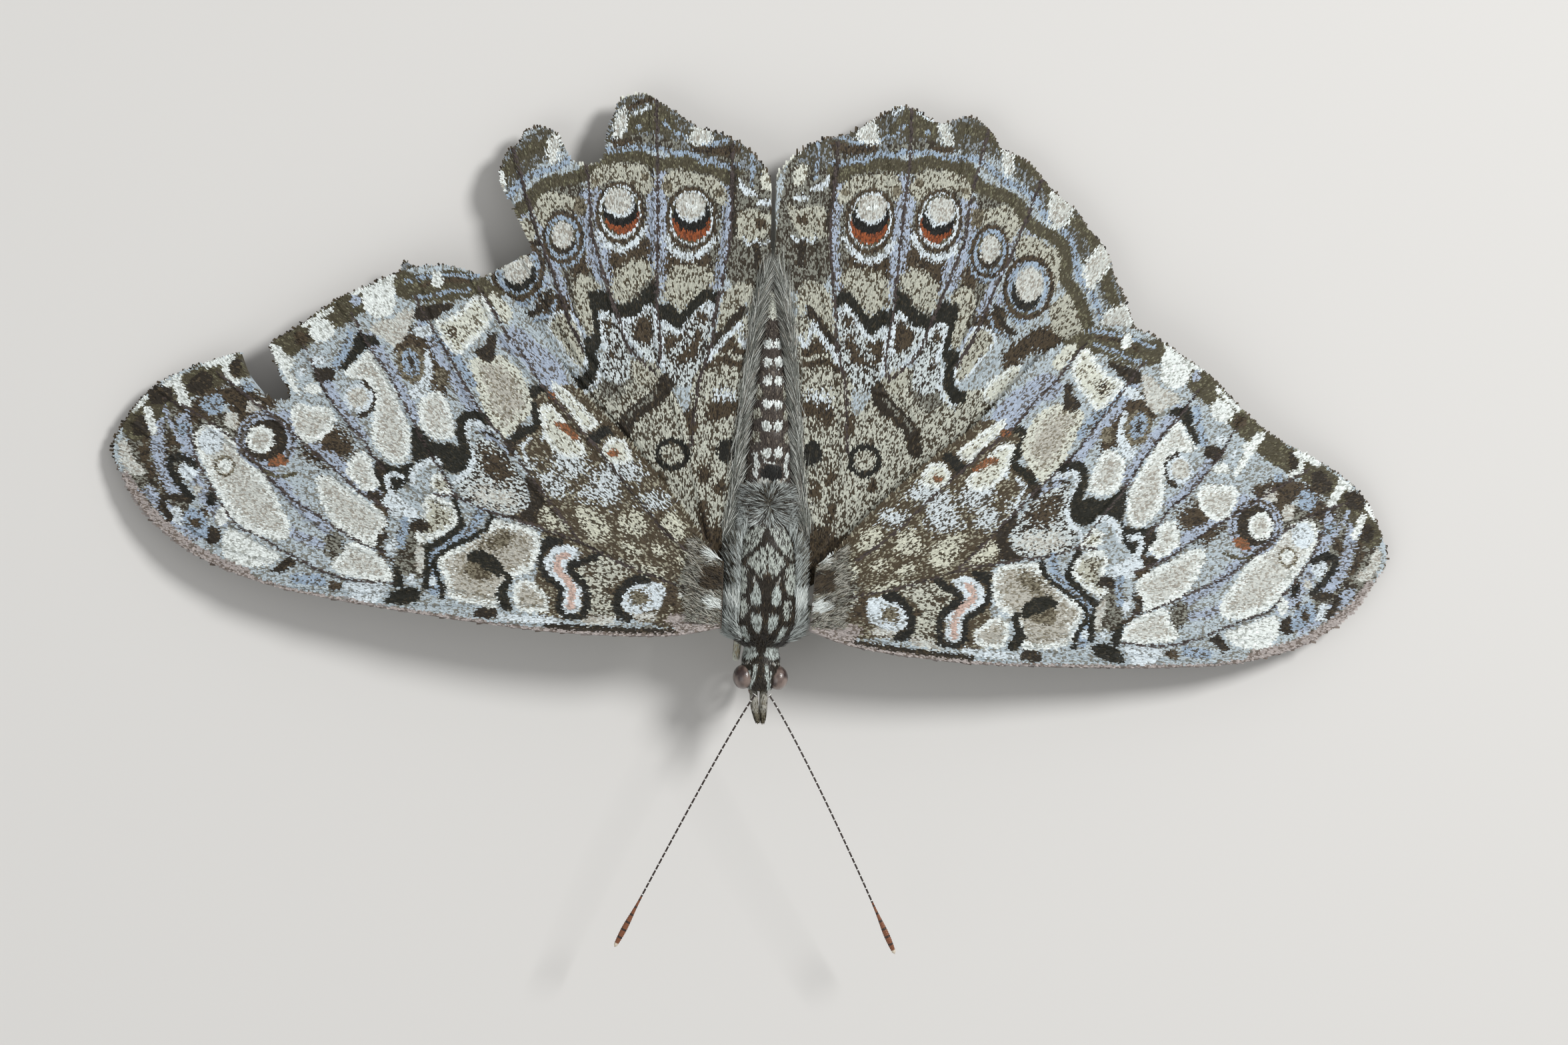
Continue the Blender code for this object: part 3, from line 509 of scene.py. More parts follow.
    # Costal spots toward the tip
    skin.patch("blotch", "20.5,-2.3 21,-2 21.8,-2.1 22.3,-2.3 22.7,-2.9 22.3,-3.05 21.3,-3 20.6,-2.7 / "
               "21.6,-2 21.6,-1.4 21.9,-0.8 22.3,-0.6 22.2,-1.5 22.2,-2.1")
    skin.patch("ice", "22.5,-2 24.9,-1.8 25.1,-2.1 24.6,-2.6 24.9,-2.9 23.2,-3 22.8,-2.6")
    skin.patch("brown", "25.2,-1.9 26,-1.8 26.1,-2.3 25.3,-2.3")
    skin.patch("blue", "26.2,-1.5 28.2,-1.5 28.2,-2 26.2,-2.1")
    skin.patch("white", "28.8,-0.3 29.6,0 30.5,0.5 31.4,1 32.1,1.2 32.3,0.8 32.4,0.2 32.1,-0.6 31.4,-1 "
               "30.3,-1.1 29.4,-0.9")
    skin.patch("dark", "27.9,-0.9 28.4,-0.4 28.9,-0.8 29.4,-1.3 28.9,-1.5 28.3,-1.1")
    skin.spot("white", 32.45, 1.8, 0.36, 0.52)
    # Black bar, arches and pale lines behind the cell
    skin.patch("pepper", "14.4,3 14.6,4.4 15.5,5.8 16.5,6.8 17.6,7 17.7,5.7 18,4.9 18.6,4.3 18.2,3.4 "
               "17,2.9 15.9,2.6 15,2.6")
    skin.patch("brown", "15.2,5.2 16.4,6.3 17.3,6.6 17.3,5.4 16.6,4.6 15.4,4.4", soft=0.3)
    skin.patch("grey", "15,3 16.6,3 17.8,3.6 17.6,4.2 16.4,4 15.2,3.8", soft=0.3)
    skin.patch("dark", "13.4,3.4 13.9,4.3 14.5,4.9 14.7,4.6 14.4,4 14.3,3.2 14.9,2.6 15.6,2.4 14.5,2.1 "
               "13.7,2.2 13.9,2.6")
    skin.patch("blotch", "18.5,6.4 19.2,6.7 19.8,6.6 20.3,6.8 20.7,7.2 21.2,7.7 21.4,7.5 21.4,6.8 21.4,6.1 "
               "21.3,5.4 20.8,5.6 20.2,5.8 19.8,5.5 19.3,5 18.7,4.8 18.2,5.1 17.8,5.3 17.9,6 18,6.6 / "
               "21.3,5.4 22.3,5.1 23.3,5.5 23.6,4.7 23.2,3.8 22.6,3.5 21.9,3.9 21.4,4.4")
    skin.line("ice", 0.4, "19.8,5.4 20.1,5.6 20.8,5.3 21.2,4.9 21.3,4.3")
    skin.line("ice", 0.35, "21.9,4.5 22.5,4.75 22.8,4.4 22.6,3.7 22.1,3.2 21.4,2.7 21,2.3")
    skin.spot("blotch", 22.2, 4.2, 0.3, 0.25)
    skin.patch("ice", "20.9,2.3 21.6,2.9 22.3,3.2 22.9,3.4 23.1,3 22.6,2.4 22,2 21.6,1.9")
    skin.line("blue", 0.5, "21.7,2 21.7,1.2 21.9,0.5")
    skin.spot("ice", 22.3, 0.4, 0.28, 0.45)
    skin.line("dark", 0.3, "22.7,1 23.1,0.8 23.2,0.3 22.9,0.1")
    skin.line("ice", 0.35, "16.4,7.5 17.2,7.8 17.9,8 18.2,7.6 18,6.6 17.7,5.6 18,5 18.8,4.3")
    skin.line("blotch", 0.56, "16.9,8.1 17.5,8.45 18.2,8.4 18.55,8 18.55,7.3 18.3,6.6 18.1,6")
    skin.line("dark", 0.15, "16.3,7 17,7.4 17.7,7.3")
    skin.patch("dark", "14.5,7.8 15.1,7.9 15.6,7.2 16,6.8 15.7,6.2 15.4,5.8 15.2,6.4 14.9,7 14.5,7.4")
    skin.line("blotch", 0.5, "13.8,10.1 14.3,10.05 14.45,9.5 14.2,8.8 14,8.2 14.1,7.8 14.8,7.5 15.3,7.1")
    skin.line("ice", 0.2, "13.6,7.6 13.7,7")
    skin.line("ice", 0.22, "14.4,7.1 14.9,6.7 14.6,6 14.5,5.3")
    skin.patch("dark", "22.9,3.1 23.9,3.1 24,3.6 23.3,3.7 / 22.9,4.2 23.3,4.6 23.5,5.5 23,5.4")
    # Blobs of the outer third
    skin.patch("grey", "22.2,-1.6 22.4,-0.9 22.9,-0.3 23.7,0.2 24.6,0.6 25.1,0.4 25.2,-0.1 25.7,-0.5 "
               "25.9,-0.9 25.6,-1.3 24.8,-1.5 23.3,-1.7 / 22.7,1.6 22.8,2.2 23.3,2.6 24.2,3.2 25.4,4 "
               "26.2,4.5 26.9,4.5 27,4 26.8,3.3 26.4,2.5 26.2,2 25.7,1.4 24.8,0.9 23.9,0.5 23.4,0.3 "
               "23.3,0.7 23.2,1.1 / 23.2,4 23.6,4.8 23.7,5.4 24.1,5.9 24.7,6 25,5.4 25.3,4.8 24.7,4.1 "
               "24.1,3.6 23.6,3.7 / 21.5,6 21.5,7.2 21.9,8.4 22.7,10 23.6,11.4 24.1,12.1 24.8,11.4 "
               "25.5,10.6 25,10.3 24.2,10.2 23.8,9.8 23.6,9 23.7,8.2 23.8,7.3 23.6,6.5 23.1,5.8 22.4,5.3 "
               "21.8,5.4 / 25.9,7.8 26.3,8.5 27.3,8.6 28.3,8.7 28.6,8.2 28.4,7.2 27.9,6.5 27.2,6.3 "
               "26.6,6.7 26.1,7.2 / 18.9,7 19,8 19.3,9 19.9,9.8 20.9,9.3 21.1,8.5 21,8 20.9,7.6 20.3,7 "
               "19.6,6.8", "white", 0.38)
    skin.line("dark", 0.4, "24.3,10.05 23.85,9.6 23.8,8.9 24,8.4 24.4,8.15")
    skin.spot("ice", 24.6, 9.15, 0.85, 0.85)
    skin.spot("grey", 24.65, 9.2, 0.6, 0.6)
    skin.spot("white", 27.3, 9.6, 0.5, 0.35)
    # Blobs behind the second branch of the cell
    skin.patch("stone", "14.3,8.9 14.7,10.4 15.2,11.2 16.2,12 17.2,11.9 18.1,11.6 17.9,10.8 17.5,9.6 "
               "17.2,8.7 16.6,7.9 15.9,7 15.4,7.5 14.8,8.2", "cream", 0.6)
    skin.line("blue", 0.55, "17.9,10.3 19.2,12.1 20.8,13.6")
    skin.patch("lavender", "12.2,10.5 13.1,12 14,12.7 14.6,13.3 15.6,13.8 16.4,13.2 16.3,12.4 15.3,11.9 "
               "14.5,11.3 13.6,10.5")
    skin.patch("cream", "17.3,15.6 17.9,15.6 18.5,14.9 19.3,14.2 20.3,13.9 19.6,12.6 18.9,11.9 18.2,12.5 "
               "17.3,13.4 16.9,14.2 17.1,15", "white", 0.3)
    skin.patch("brown", "18.7,13.4 19.3,13.7 19.5,13.1 19,12.9", soft=0.15)
    skin.patch("cream", "15.6,14.4 16.1,15.2 16.8,15.8 17.1,15.6 16.6,14.6 16,13.9")
    skin.patch("dark", "16.6,13.4 17.1,13.3 17.2,12.6 17.9,12.2 17.6,11.8 17.1,11.6 16.7,11.6 16.6,12.3")
    skin.patch("tan", "19.3,10.2 19.9,10 20.2,10.8 19.8,11.2 19.3,11")
    skin.patch("ice", "20.3,11.2 20.7,12.4 20.9,11.4 21.1,10.3 21.7,9.7 21.4,9.2 20.8,9.4 20.4,10.2")
    skin.spot("tan", 21.6, 11.4, 0.85, 1.25, 12)
    skin.spot("blue", 21.6, 11.4, 0.5, 0.88, 12)
    skin.spot("dark", 21.6, 11.45, 0.14, 0.4, 12)
    skin.patch("brown", "20.5,12.6 21.2,13 22.2,12.9 22.8,12 22.4,12 21.4,12.4 20.8,12.1", soft=0.1)
    skin.patch("grey", "21.4,14.5 22,14.6 22.7,14 23.8,13.8 24.1,13.3 23.3,12.8 22.6,12.3 22,12.8 "
               "21.7,13.5")
    skin.patch("white", "22.7,16.2 23.2,16.4 23.8,15.9 24.5,15.7 24.4,14.5 23.6,14 22.8,14.3 22.6,15.2 / "
               "19.9,16 20.4,16 20.5,16.9 20,16.9 / 26.1,13.1 26.5,13.9 27.1,13.7 27.7,13.2 27.2,12.4 "
               "26.6,12.5")
    skin.patch("blotch", "23.4,12.6 24,12.9 24.8,13.1 25,12.6 25.1,12 25.5,11.4 25.8,10.9 25.4,10.8 "
               "25,11.3 24.5,11.9 24,12.4 23.5,12.3")
    skin.patch("dark", "19,15 20,14.95 21.4,14.7 21.5,14.1 20.7,13.9 19.8,14.4")
    skin.patch("ice", "20.2,13.7 21.2,13.6 21.7,13.2 21,12.9 20.3,13.2")
    skin.spot("lavender", 24.95, 15.0, 0.3, 0.36)
    skin.line("blue", 0.5, "25.2,13 25.5,12 26,11")
    skin.spot("ice", 27.1, 11.35, 0.45, 0.25)
    skin.patch("dark", "26,10.2 27.2,10.1 27.3,10.8 26.1,10.9")
    skin.patch("white", "28.4,11.3 28.9,11.6 29.4,12.2 29.9,12.2 29.5,11.2 29,10.4 28.6,9.6 28.1,9.2 "
               "28.3,10.1 28.7,10.6")
    skin.spot("ice", 28, 10.6, 0.18, 0.25)
    skin.patch("brown", "27.6,12.4 28.4,12.3 28.6,12.9 27.7,13")
    # Trailing strip next to the hindwing
    skin.patch("cream", "10.3,8.2 11.2,9 12.2,10 13.2,10.6 13,9.8 12,8.7 11.2,7.6 10.6,7.8 / 11.1,6.6 "
               "11.9,7.6 12.6,8.6 13.3,9.2 13.9,9.1 13.8,8.2 13.5,7.2 13,6.5 12,6 11.2,6.2 / 8.4,6.6 "
               "8.9,7.3 9.6,7.4 10.1,6.8 10.2,6.2 9.4,5.8 8.3,5.9", "white", 0.25)
    skin.line("rust", 0.4, "11.7,7.3 12.2,7.75 12.8,8")
    skin.spots("rust", 0.3, 0.22, "13.2,9.7 9.4,6.4")
    skin.patch("black", "9.4,7.6 9.8,8.1 10.4,7.9 10.9,7.4 11.1,7.1 10.6,6.8 10.2,7.1 9.9,7.4")
    # Tip: the long pale cell, the eye spot and the marks round them
    skin.patch("grey", "28.3,1.3 28.8,2.3 29.3,3.2 29.9,4.2 30.6,5.1 31.3,5.9 32.2,6.8 32.9,7.2 33.7,7.3 "
               "34.1,6.8 34.2,6.2 33.8,5.2 33.3,4.2 32.6,3 32,2 31.5,1.5 30.5,0.9 29.5,0.6 28.6,0.6",
               "white", 0.45)
    skin.ring("tan", 32.35, 4.85, 0.62, 0.62, 0.14)
    skin.spot("white", 32.35, 4.9, 0.4, 0.4)
    skin.spot("ice", 33.2, 6.3, 0.75, 0.8)
    skin.spot("lavender", 29.95, 6.45, 1.8, 1.75)
    skin.ring("brown", 29.95, 6.45, 1.62, 1.6, 0.12, soft=0.03)
    skin.spot("dark", 29.95, 6.45, 1.26, 1.26)
    skin.spot("white", 30.3, 6.5, 0.8, 0.86)
    skin.spot("grey", 30.3, 6.5, 0.5, 0.55)
    skin.patch("rust", "28.6,5.4 29.1,5.7 29.7,5.3 29.9,5 29.3,4.9 28.8,5")
    skin.line("olive", 0.25, "28.2,4.5 29.2,4.3 30,4.6")
    skin.spot("black", 33.1, 2.85, 0.28, 0.5)
    skin.patch("dark", "32.4,0.3 33.2,0.2 33.5,0.9 33,1.3 32.5,1")
    skin.patch("blue", "33.3,0.4 34.2,0.8 34.7,1.6 34.3,2.3 33.5,1.9 33.2,1.2")
    skin.spot("brown", 34, 1.4, 0.3, 0.3)
    skin.spot("ice", 34.5, 4.5, 0.55, 0.55)
    skin.line("black", 0.45, "34.1,4.8 34.9,5.3 35.5,5.2 35.6,4.7 35.2,4 34.7,3.3 34.3,2.9")
    skin.spot("grey", 33.9, 3.4, 0.3, 0.3)
    skin.patch("ice", "34.7,1.2 35.4,1.4 35.5,2.2 34.9,2.3")
    skin.line("dark", 0.42, "34.4,2.65 34.8,2.75 35.4,2.9 36,2.7 35.9,2.2 35.5,1.6")
    skin.spot("dark", 36.6, 3.7, 0.12, 0.3)
    skin.patch("grey", "37,4.2 37.8,5.2 38.2,6.3 38.6,6 38.5,5 38.1,4.2")
    skin.line("brown", 0.25, "37.1,5 37.4,5.8")
    # Margin beyond the eye spot
    skin.patch("dark", "31.7,10.2 32.2,10.1 32.1,11.3 31.6,11.3 / 33.4,9.4 34,9 34.6,9.2 34.8,9.6 "
               "33.8,10.5 33.2,10.2 / 35.6,8.6 36.8,8.4 37,9.2 35.8,9.6 / 37,6.6 37.8,6.5 37.8,7.6 "
               "37.1,7.7")
    skin.patch("blue", "30.8,9.3 31.4,9.3 31.3,9.9 30.8,9.8 / 32.6,8 33.3,7.8 33.9,8.3 33.6,9 32.7,9.1 / "
               "34.4,6.6 35.2,6.6 35.3,7.3 34.6,7.4")
    skin.line("lavender", 0.25, "35,6.2 35.6,7.2 36,8.2 / 36,5 36.4,6.2 36.9,7")
    skin.patch("grey", "30.2,8.2 31.2,8.1 31.1,8.8 30.3,8.7 / 31.7,7 32.4,7.2 32.3,8.1 31.7,8")
    skin.line("white", 0.4, "32.1,11.3 33.6,10.8")
    skin.line("white", 0.35, "32.5,11 32.4,10.2 31.8,9.9")
    skin.line("white", 0.6, "35.3,9.6 34.8,8.5")
    skin.line("white", 0.4, "35.2,10 35.9,9.6")
    skin.line("white", 0.45, "37,8 36.6,6.7")
    skin.line("white", 0.35, "37.2,8.7 37.8,8")
    # Veins, and the pinkish grey rim of the leading edge
    skin.line("vein", 0.14, "4,-1.7 7.5,-0.6 9.5,0.2 11.3,1.05 13,1.6 15.5,2.35 17,2.75 18.6,3.45 20,3.6 / "
              "11.3,1.1 13,3.2 14.4,5 15.9,6.9 17.5,8.8 18.4,10.2 19.5,12.1 20.7,14 21.4,15.3 / 5,0.8 "
              "6.8,2.4 8.5,4.4 10,6.2 11,7.3 12.5,8.9 13.8,10.3 14.6,11.6 16,13.3 17,15 17.7,16 / 18.6,3.4 "
              "20.9,7 22,9.1 23,10.8 24.1,12.3 25.2,14.2 / 23,5 23.8,5.9 24.3,6.8 25.2,7.6 26,8.7 "
              "26.9,10.1 27.9,12.2 / 22.4,2.5 24.4,3.6 26.4,5.3 28.3,6.8 30.6,8.6 33,10.4 / 22.8,0 "
              "24.5,0.7 27,2.2 28.5,3.1 30,4.5 31.4,6 33.6,7.6 36,8.8 / 22.3,-1.8 24.5,-1.7 26,-1.4 "
              "28,-0.5 30,0.6 31.5,1.3 32.2,2.2 33.2,3.7 34,5.2 34.6,7")
    skin.line("costa", 0.9, "31,-1.6 34.1,-0.3 36.9,2 38.2,3.8")
    skin.line("costa", 0.62, "2.6,-3.95 6.1,-4.5 12.4,-4.5 18.7,-3.9 25,-3.1 29.8,-2.2 34.1,-0.5 36.9,1.8 "
              "38.3,3.6")


# Hindwing markings
# Cells between the veins, each with a beige cap and an eye spot in rings of brown, black and pale grey, lie
# inside a dark band and a blue line that follow the scalloped margin. Toward the root come speckled shields.


def mark_hindwing(skin):
    skin.ground("mist")
    skin.patch("haze", "-0.5,17 2.6,17 2.6,20 2.5,24.2 0.6,25 -0.5,24")
    skin.patch("haze", "3.4,24 6.6,24 6.5,16 3.6,16.6 / 7.4,24 10.8,24 10.2,19 9.4,15.6 7.3,15.6 / "
               "11.2,22.4 14.4,22 13.4,17.6 12,14.4 10.6,14.4", soft=0.15)
    skin.line("lavender", 0.5, "2.75,22.6 2.85,20 3.1,18 3.5,16.8 / 6.7,23.4 6.65,20 6.6,17.4 6.5,16 / "
              "7.35,23 7.35,20 7.3,17.8 / 10.75,22.4 10.5,20 10,18 9.5,16.6 / 11.4,22 11.3,20 10.9,18.2 "
              "10.4,17 / 14.3,21.4 13.7,19.4 13,17.2 12.2,15.2 / 15.2,20.6 14.4,18.6 13.6,16.4", soft=0.08)
    # Basal and middle parts
    skin.patch("speckle", "2,5 4,2 9,4 15,8 20,12 19,14 14,11.5 12,11 10.5,11 8.5,12 7,12 5,9 4.5,12 2,12")
    skin.patch("speckle", "0.5,1 4.4,1 5.2,5 4.6,8.4 4,12 3.4,14 0.5,14", soft=0.15)
    skin.patch("brown", "2.4,-1.5 6,-0.5 7,2.6 4.4,2 2.4,2.4", soft=0.2)
    skin.patch("brown", "1.6,8.9 2.2,9 3.4,8.5 4,8.7 3.6,9.6 2.8,10 1.6,9.9", soft=0.12)
    skin.patch("ice", "1.8,10 2.6,10 3.6,9.8 3.4,10.4 2.4,10.5", soft=0.2)
    skin.patch("black", "2.05,6.25 2.9,6.1 3.15,6.9 2.9,7.45 2.1,7.4", soft=0.08)
    skin.patch("brown", "2.5,4.2 3.3,4.2 3.2,5 2.6,5.1", soft=0.15)
    skin.patch("brown", "3.5,4.9 4.1,4.9 4.2,6 3.6,5.9", soft=0.12)
    skin.line("brown", 0.5, "3.7,2 3.9,3.6", soft=0.12)
    skin.line("brown", 0.6, "4.6,8 4.8,9", soft=0.1)
    # Brown wedges and pale zigzags beside the abdomen
    skin.patch("brown", "1.2,12.7 1.9,13.1 2.3,13.8 3,13.2 3.3,12.7 2.4,12.8 1.8,12.5", soft=0.07)
    skin.line("brown", 0.42, "1.6,12.1 2.2,12.05 2.7,12.4 3.3,12.1 4,11.8", soft=0.07)
    skin.ring("black", 5.8, 6.5, 1.06, 1.03, 0.36)
    skin.spot("brown", 6.4, 5, 0.3, 0.4, soft=0.12)
    skin.line("dark", 0.95, "6.25,10.9 6.6,10.1 7.3,9.5 8.1,8.9 8.6,8.3 8.9,7.2", soft=0.06)
    skin.line("haze", 0.26, "6.8,10.2 7.5,9.5 8.2,9 8.6,8.4", soft=0.05)
    skin.patch("beige", "6.7,10.9 8,10.6 8.1,12 7,12")
    skin.patch("haze", "8.3,10.8 9.4,9.6 10.6,10.2 10.2,11.4 9.2,12 8.5,11.8", soft=0.15)
    # Shields between the veins
    skin.patch("pepper", "3.5,15 3.8,15.7 4.1,15.7 4.6,15.2 5.1,14.7 5.3,14.1 5.7,13.8 6.1,14.4 6.4,14.5 "
               "6.6,13.8 6.6,12.6 6.5,11.8 6,11 5.4,10.5 4.9,10.8 4.4,11.6 3.9,12.6 3.8,13.8")
    skin.patch("brown", "3.9,14.9 4.4,15.2 5,14.4 5.4,13.6 6,13.8 6.6,13.6 6.5,12.6 5.4,12 4.6,12.4 "
               "4.2,13.4", soft=0.12)
    skin.line("ice", 0.3, "3.65,15 3.85,15.5 4.2,15.6 4.7,15 5.1,14.4 5.4,13.95 5.8,13.8 6.2,14.35 "
              "6.5,14.4", soft=0.08)
    skin.line("ice", 0.22, "6.55,14.4 6.6,13 6.5,11.8", soft=0.08)
    skin.line("pepper", 0.5, "4.1,14.2 4.6,14.4 5,13.6 5.4,12.9 5.8,12.6", soft=0.1)
    skin.patch("pepper", "6.95,15.2 7.2,15.5 7.6,15.3 7.9,14.9 8.5,14.6 9.1,14.5 8.8,13.8 8.2,13.1 "
               "7.5,12.3 6.9,11.9 6.85,13.5")
    skin.patch("brown", "7.1,13 7.1,14.8 7.7,14.8 8.3,14.3 8.2,13.4", soft=0.12)
    skin.line("ice", 0.3, "7.05,13 7.05,15.1 7.6,15.2 8,14.8 8.6,14.5 9,14.3", soft=0.08)
    skin.line("ice", 0.25, "7.2,12 8,12.6 8.7,13.5 9.1,14.3", soft=0.08)
    skin.patch("pepper", "8.5,12 8.8,13 9.3,14.2 9.6,14.9 10.2,15 10.4,14.6 10.2,13.4 9.9,12.6 10.3,12.2 "
               "10.5,11.9 10.2,11.2 9.9,10.8 9,10.6 8.5,11")
    skin.spots("brown", 0.25, 0.35, "9.8,14.2 9.6,12.4", soft=0.12)
    skin.line("ice", 0.28, "9.2,14.2 9.7,14.9 10.1,14.8 10.3,14.2 10.1,13.2 9.8,12.6", soft=0.08)
    skin.line("ice", 0.3, "10.4,12 10.2,11.2 10.6,10.4 11.1,10", soft=0.1)
    # Beige lobes and the dark zigzag across the middle
    skin.patch("dark", "1.5,15.5 2,15.3 2.6,14.5 3.1,13.8 3.4,13.9 3.5,15.3 3.7,13.5 4.1,11.8 3.8,11.9 "
               "3.3,12.8 2.7,13.8 2.1,14.7 1.6,14.9")
    skin.patch("beige", "0.9,16.4 1.3,17 2,17 2.9,16.4 3.2,15.4 3.35,14.3 3.2,13.8 2.9,14.1 2.4,14.7 "
               "1.9,15.3 1.6,15.8 1.4,15.1 1.1,15", soft=0.08)
    skin.line("dark", 0.45, "1.7,15.4 2.4,14.6 3,13.9 3.7,13.1", soft=0.06)
    skin.line("ice", 0.34, "2,14.5 2.5,13.9 3.1,13.2 3.9,12.2", soft=0.07)
    skin.line("ice", 0.3, "1.25,13.7 1.6,13.1 1.85,13.5 2,14.4", soft=0.07)
    skin.patch("brown", "3.8,17.3 5,17.6 6,17.2 6.5,16.9 6.4,18.5 5.4,18.4 4.6,18.4 3.9,18.8 / 7.5,17.6 "
               "8.6,17.7 9.7,16.6 9.8,17.6 9.9,18.8 8.8,18.7 7.6,19.4 / 11,17.2 12,17 12.1,18 11.4,18.4",
               soft=0.14)
    skin.patch("beige", "3.3,17.2 4,17.8 5,17.9 5.9,17.8 6.4,17.3 6.6,16.8 6.6,15.7 6.2,15.6 5.9,15.3 "
               "5.6,15 5.3,15.1 5.1,15.6 4.8,15.9 4.4,16.3 4,16.6 3.5,16.9 / 7.15,17.6 7.7,18.1 8.6,18 "
               "9.4,17.4 9.7,16.8 9.7,16.2 9.3,15.6 8.8,15.5 8.3,15.9 8,16.3 7.5,16.9 7.2,17.1", soft=0.12)
    skin.patch("beige", "10.3,16.4 11.3,17.2 11.9,16.9 12,16 11.6,14.8 11.4,14 11,13.4 10.7,13.6 10.8,14.6 "
               "11,15.5 11.1,16.1 10.5,16.2")
    skin.line("lavender", 0.6, "11.5,13.3 12.5,15.5 13,17")
    skin.patch("brown", "13.9,13.2 15.2,14.3 16.8,15.1 18.4,13.9 17.4,13 16.4,13.5 15.2,12.8 14.4,12.2",
               soft=0.15)
    skin.patch("cream", "12.9,11 13.8,12 15,12.7 15.4,12 14.4,10.8 13.3,10.2 / 14.6,9.9 15.6,11.2 17,12.8 "
               "17.9,12.3 17,10.9 15.6,9.4 / 17.6,11 18.6,12.6 20,13.4 20.6,12.7 19.6,11.4 18.2,10.4",
               "white", 0.25, soft=0.1)
    skin.patch("brown", "14.2,15.9 12.3,15.7 12,14.6 13.6,14.3", soft=0.18)
    skin.patch("beige", "13.1,14.7 12.1,14.8 11.3,13.3 11,12 11.2,11.3 11.9,11.7 12.7,12.8 13.5,13.9",
               "ice", 0.16)
    skin.patch("blotch", "3.3,16.1 3.6,16.5 4,16.5 4.5,16.2 4.9,15.8 5.2,15.3 5.5,15 5.8,15.2 6.1,15.6 "
               "6.6,15.5 6.85,15.6 6.8,14.5 6.4,14.6 6.1,14.3 5.7,14 5.4,14.2 5,14.7 4.6,15.2 4.3,15.5 "
               "4,15.8 3.6,15.7 3.35,15.4 / 7,16.9 7.5,16.6 8,16 8.6,15.5 9.2,15.3 9.7,15.7 10,16.2 "
               "10.4,16.2 11.05,16 11,15.5 10.75,14.2 10.7,13.4 11.3,13.3 11.1,12.4 11,11.6 11.3,11 "
               "11.9,10.8 11.9,10.4 11.3,10 10.9,10.3 10.6,10.8 10.3,11.6 10.5,12.4 10.2,13 10.3,13.8 "
               "10.45,14.8 10.3,15 9.8,14.9 9.4,14.6 9.1,14.4 8.8,14.6 8.3,14.6 7.9,14.9 7.7,15.3 7.3,15.5 "
               "7,15.3")
    # Cells with their beige caps
    skin.patch("beige", "2.8,22.3 3.2,23 3.9,23.4 4.6,23.4 5.2,23.6 6.1,23.7 6.6,23.2 6.85,22.6 6.5,22 "
               "5.6,22.6 4.8,22.8 4,22.4 3.4,21.8 2.9,21.6")
    skin.spot("tan", 3.3, 22.4, 0.3, 0.25)
    skin.spot("tan", 6.4, 22.6, 0.3, 0.35)
    skin.patch("beige", "7.2,22.6 7.2,23 7.6,23.6 8.3,24 9,23.9 9.6,24.1 10.3,24.1 10.9,23.6 11.1,23.1 "
               "11,22.2 10.3,22.7 9.3,22.9 8.4,22.6 7.8,22")
    skin.spots("tan", 0.28, 0.25, "7.8,23.2 10.7,22.8")
    skin.patch("tan", "11.3,21.8 11.3,20.6 11.9,20.8 12,21.8")
    skin.patch("beige", "12,21.8 12.6,21.9 13.3,22.1 14,21.9 14.4,21.4 14.5,20.9 14.2,20.3 13.8,19.8 "
               "13.5,20.6 12.8,21.1 12.2,20.9 12,21.2 / 14.7,20.4 15.5,20.3 16.3,19.9 17.3,19.5 17.5,18.6 "
               "17.2,17.7 16.9,17 16.6,18 16,18.7 15.2,18.9 14.4,19 14.3,19.9 / 16.7,16 17.3,16.8 "
               "17.8,17.1 18.3,16.7 18.9,15.8 19.2,15 19.1,14.5 18.3,14.2 17.2,14.6")
    # The two large eye spots
    for arch, rim, pale, line, orange, black, soft_core, core in (
            ("3.6,19.6 4.2,18.8 5,18.4 5.9,18.6 6.5,19.5", (4.97, 20.75, 1.55, 1.95, 0.26),
             (4.97, 20.8, 1.3, 1.66), (4.97, 20.8, 1.2, 1.55, 0.14), (4.95, 20.6, 1.14, 1.2),
             (4.97, 21.0, 1.12, 1.02), (5.0, 21.42, 0.92, 0.86), (5.0, 21.55, 0.9, 0.8)),
            ("7.8,20 8.4,19.1 9.2,18.7 10,18.9 10.5,19.6", (9.25, 20.95, 1.48, 1.9, 0.25),
             (9.25, 21.0, 1.24, 1.64), (9.25, 21.05, 1.12, 1.48, 0.12), (9.15, 20.8, 1.02, 1.16),
             (9.22, 21.1, 1.04, 0.98), (9.3, 21.5, 0.9, 0.86), (9.38, 21.62, 0.82, 0.78))):
        skin.line("ice", 0.4, arch, soft=0.1)
        skin.ring("brown", *rim, soft=0.03)
        skin.spot("ice", *pale)
        skin.ring("olive", *line, soft=0.03)
        skin.spot("orange", *orange, soft=0.04)
        skin.spot("soot", *black, soft=0.04)
        skin.spot("ice", *soft_core, soft=0.06)
        skin.spot("grey", *core)
    skin.line("white", 0.25, "4.7,21.5 5.2,21.6")
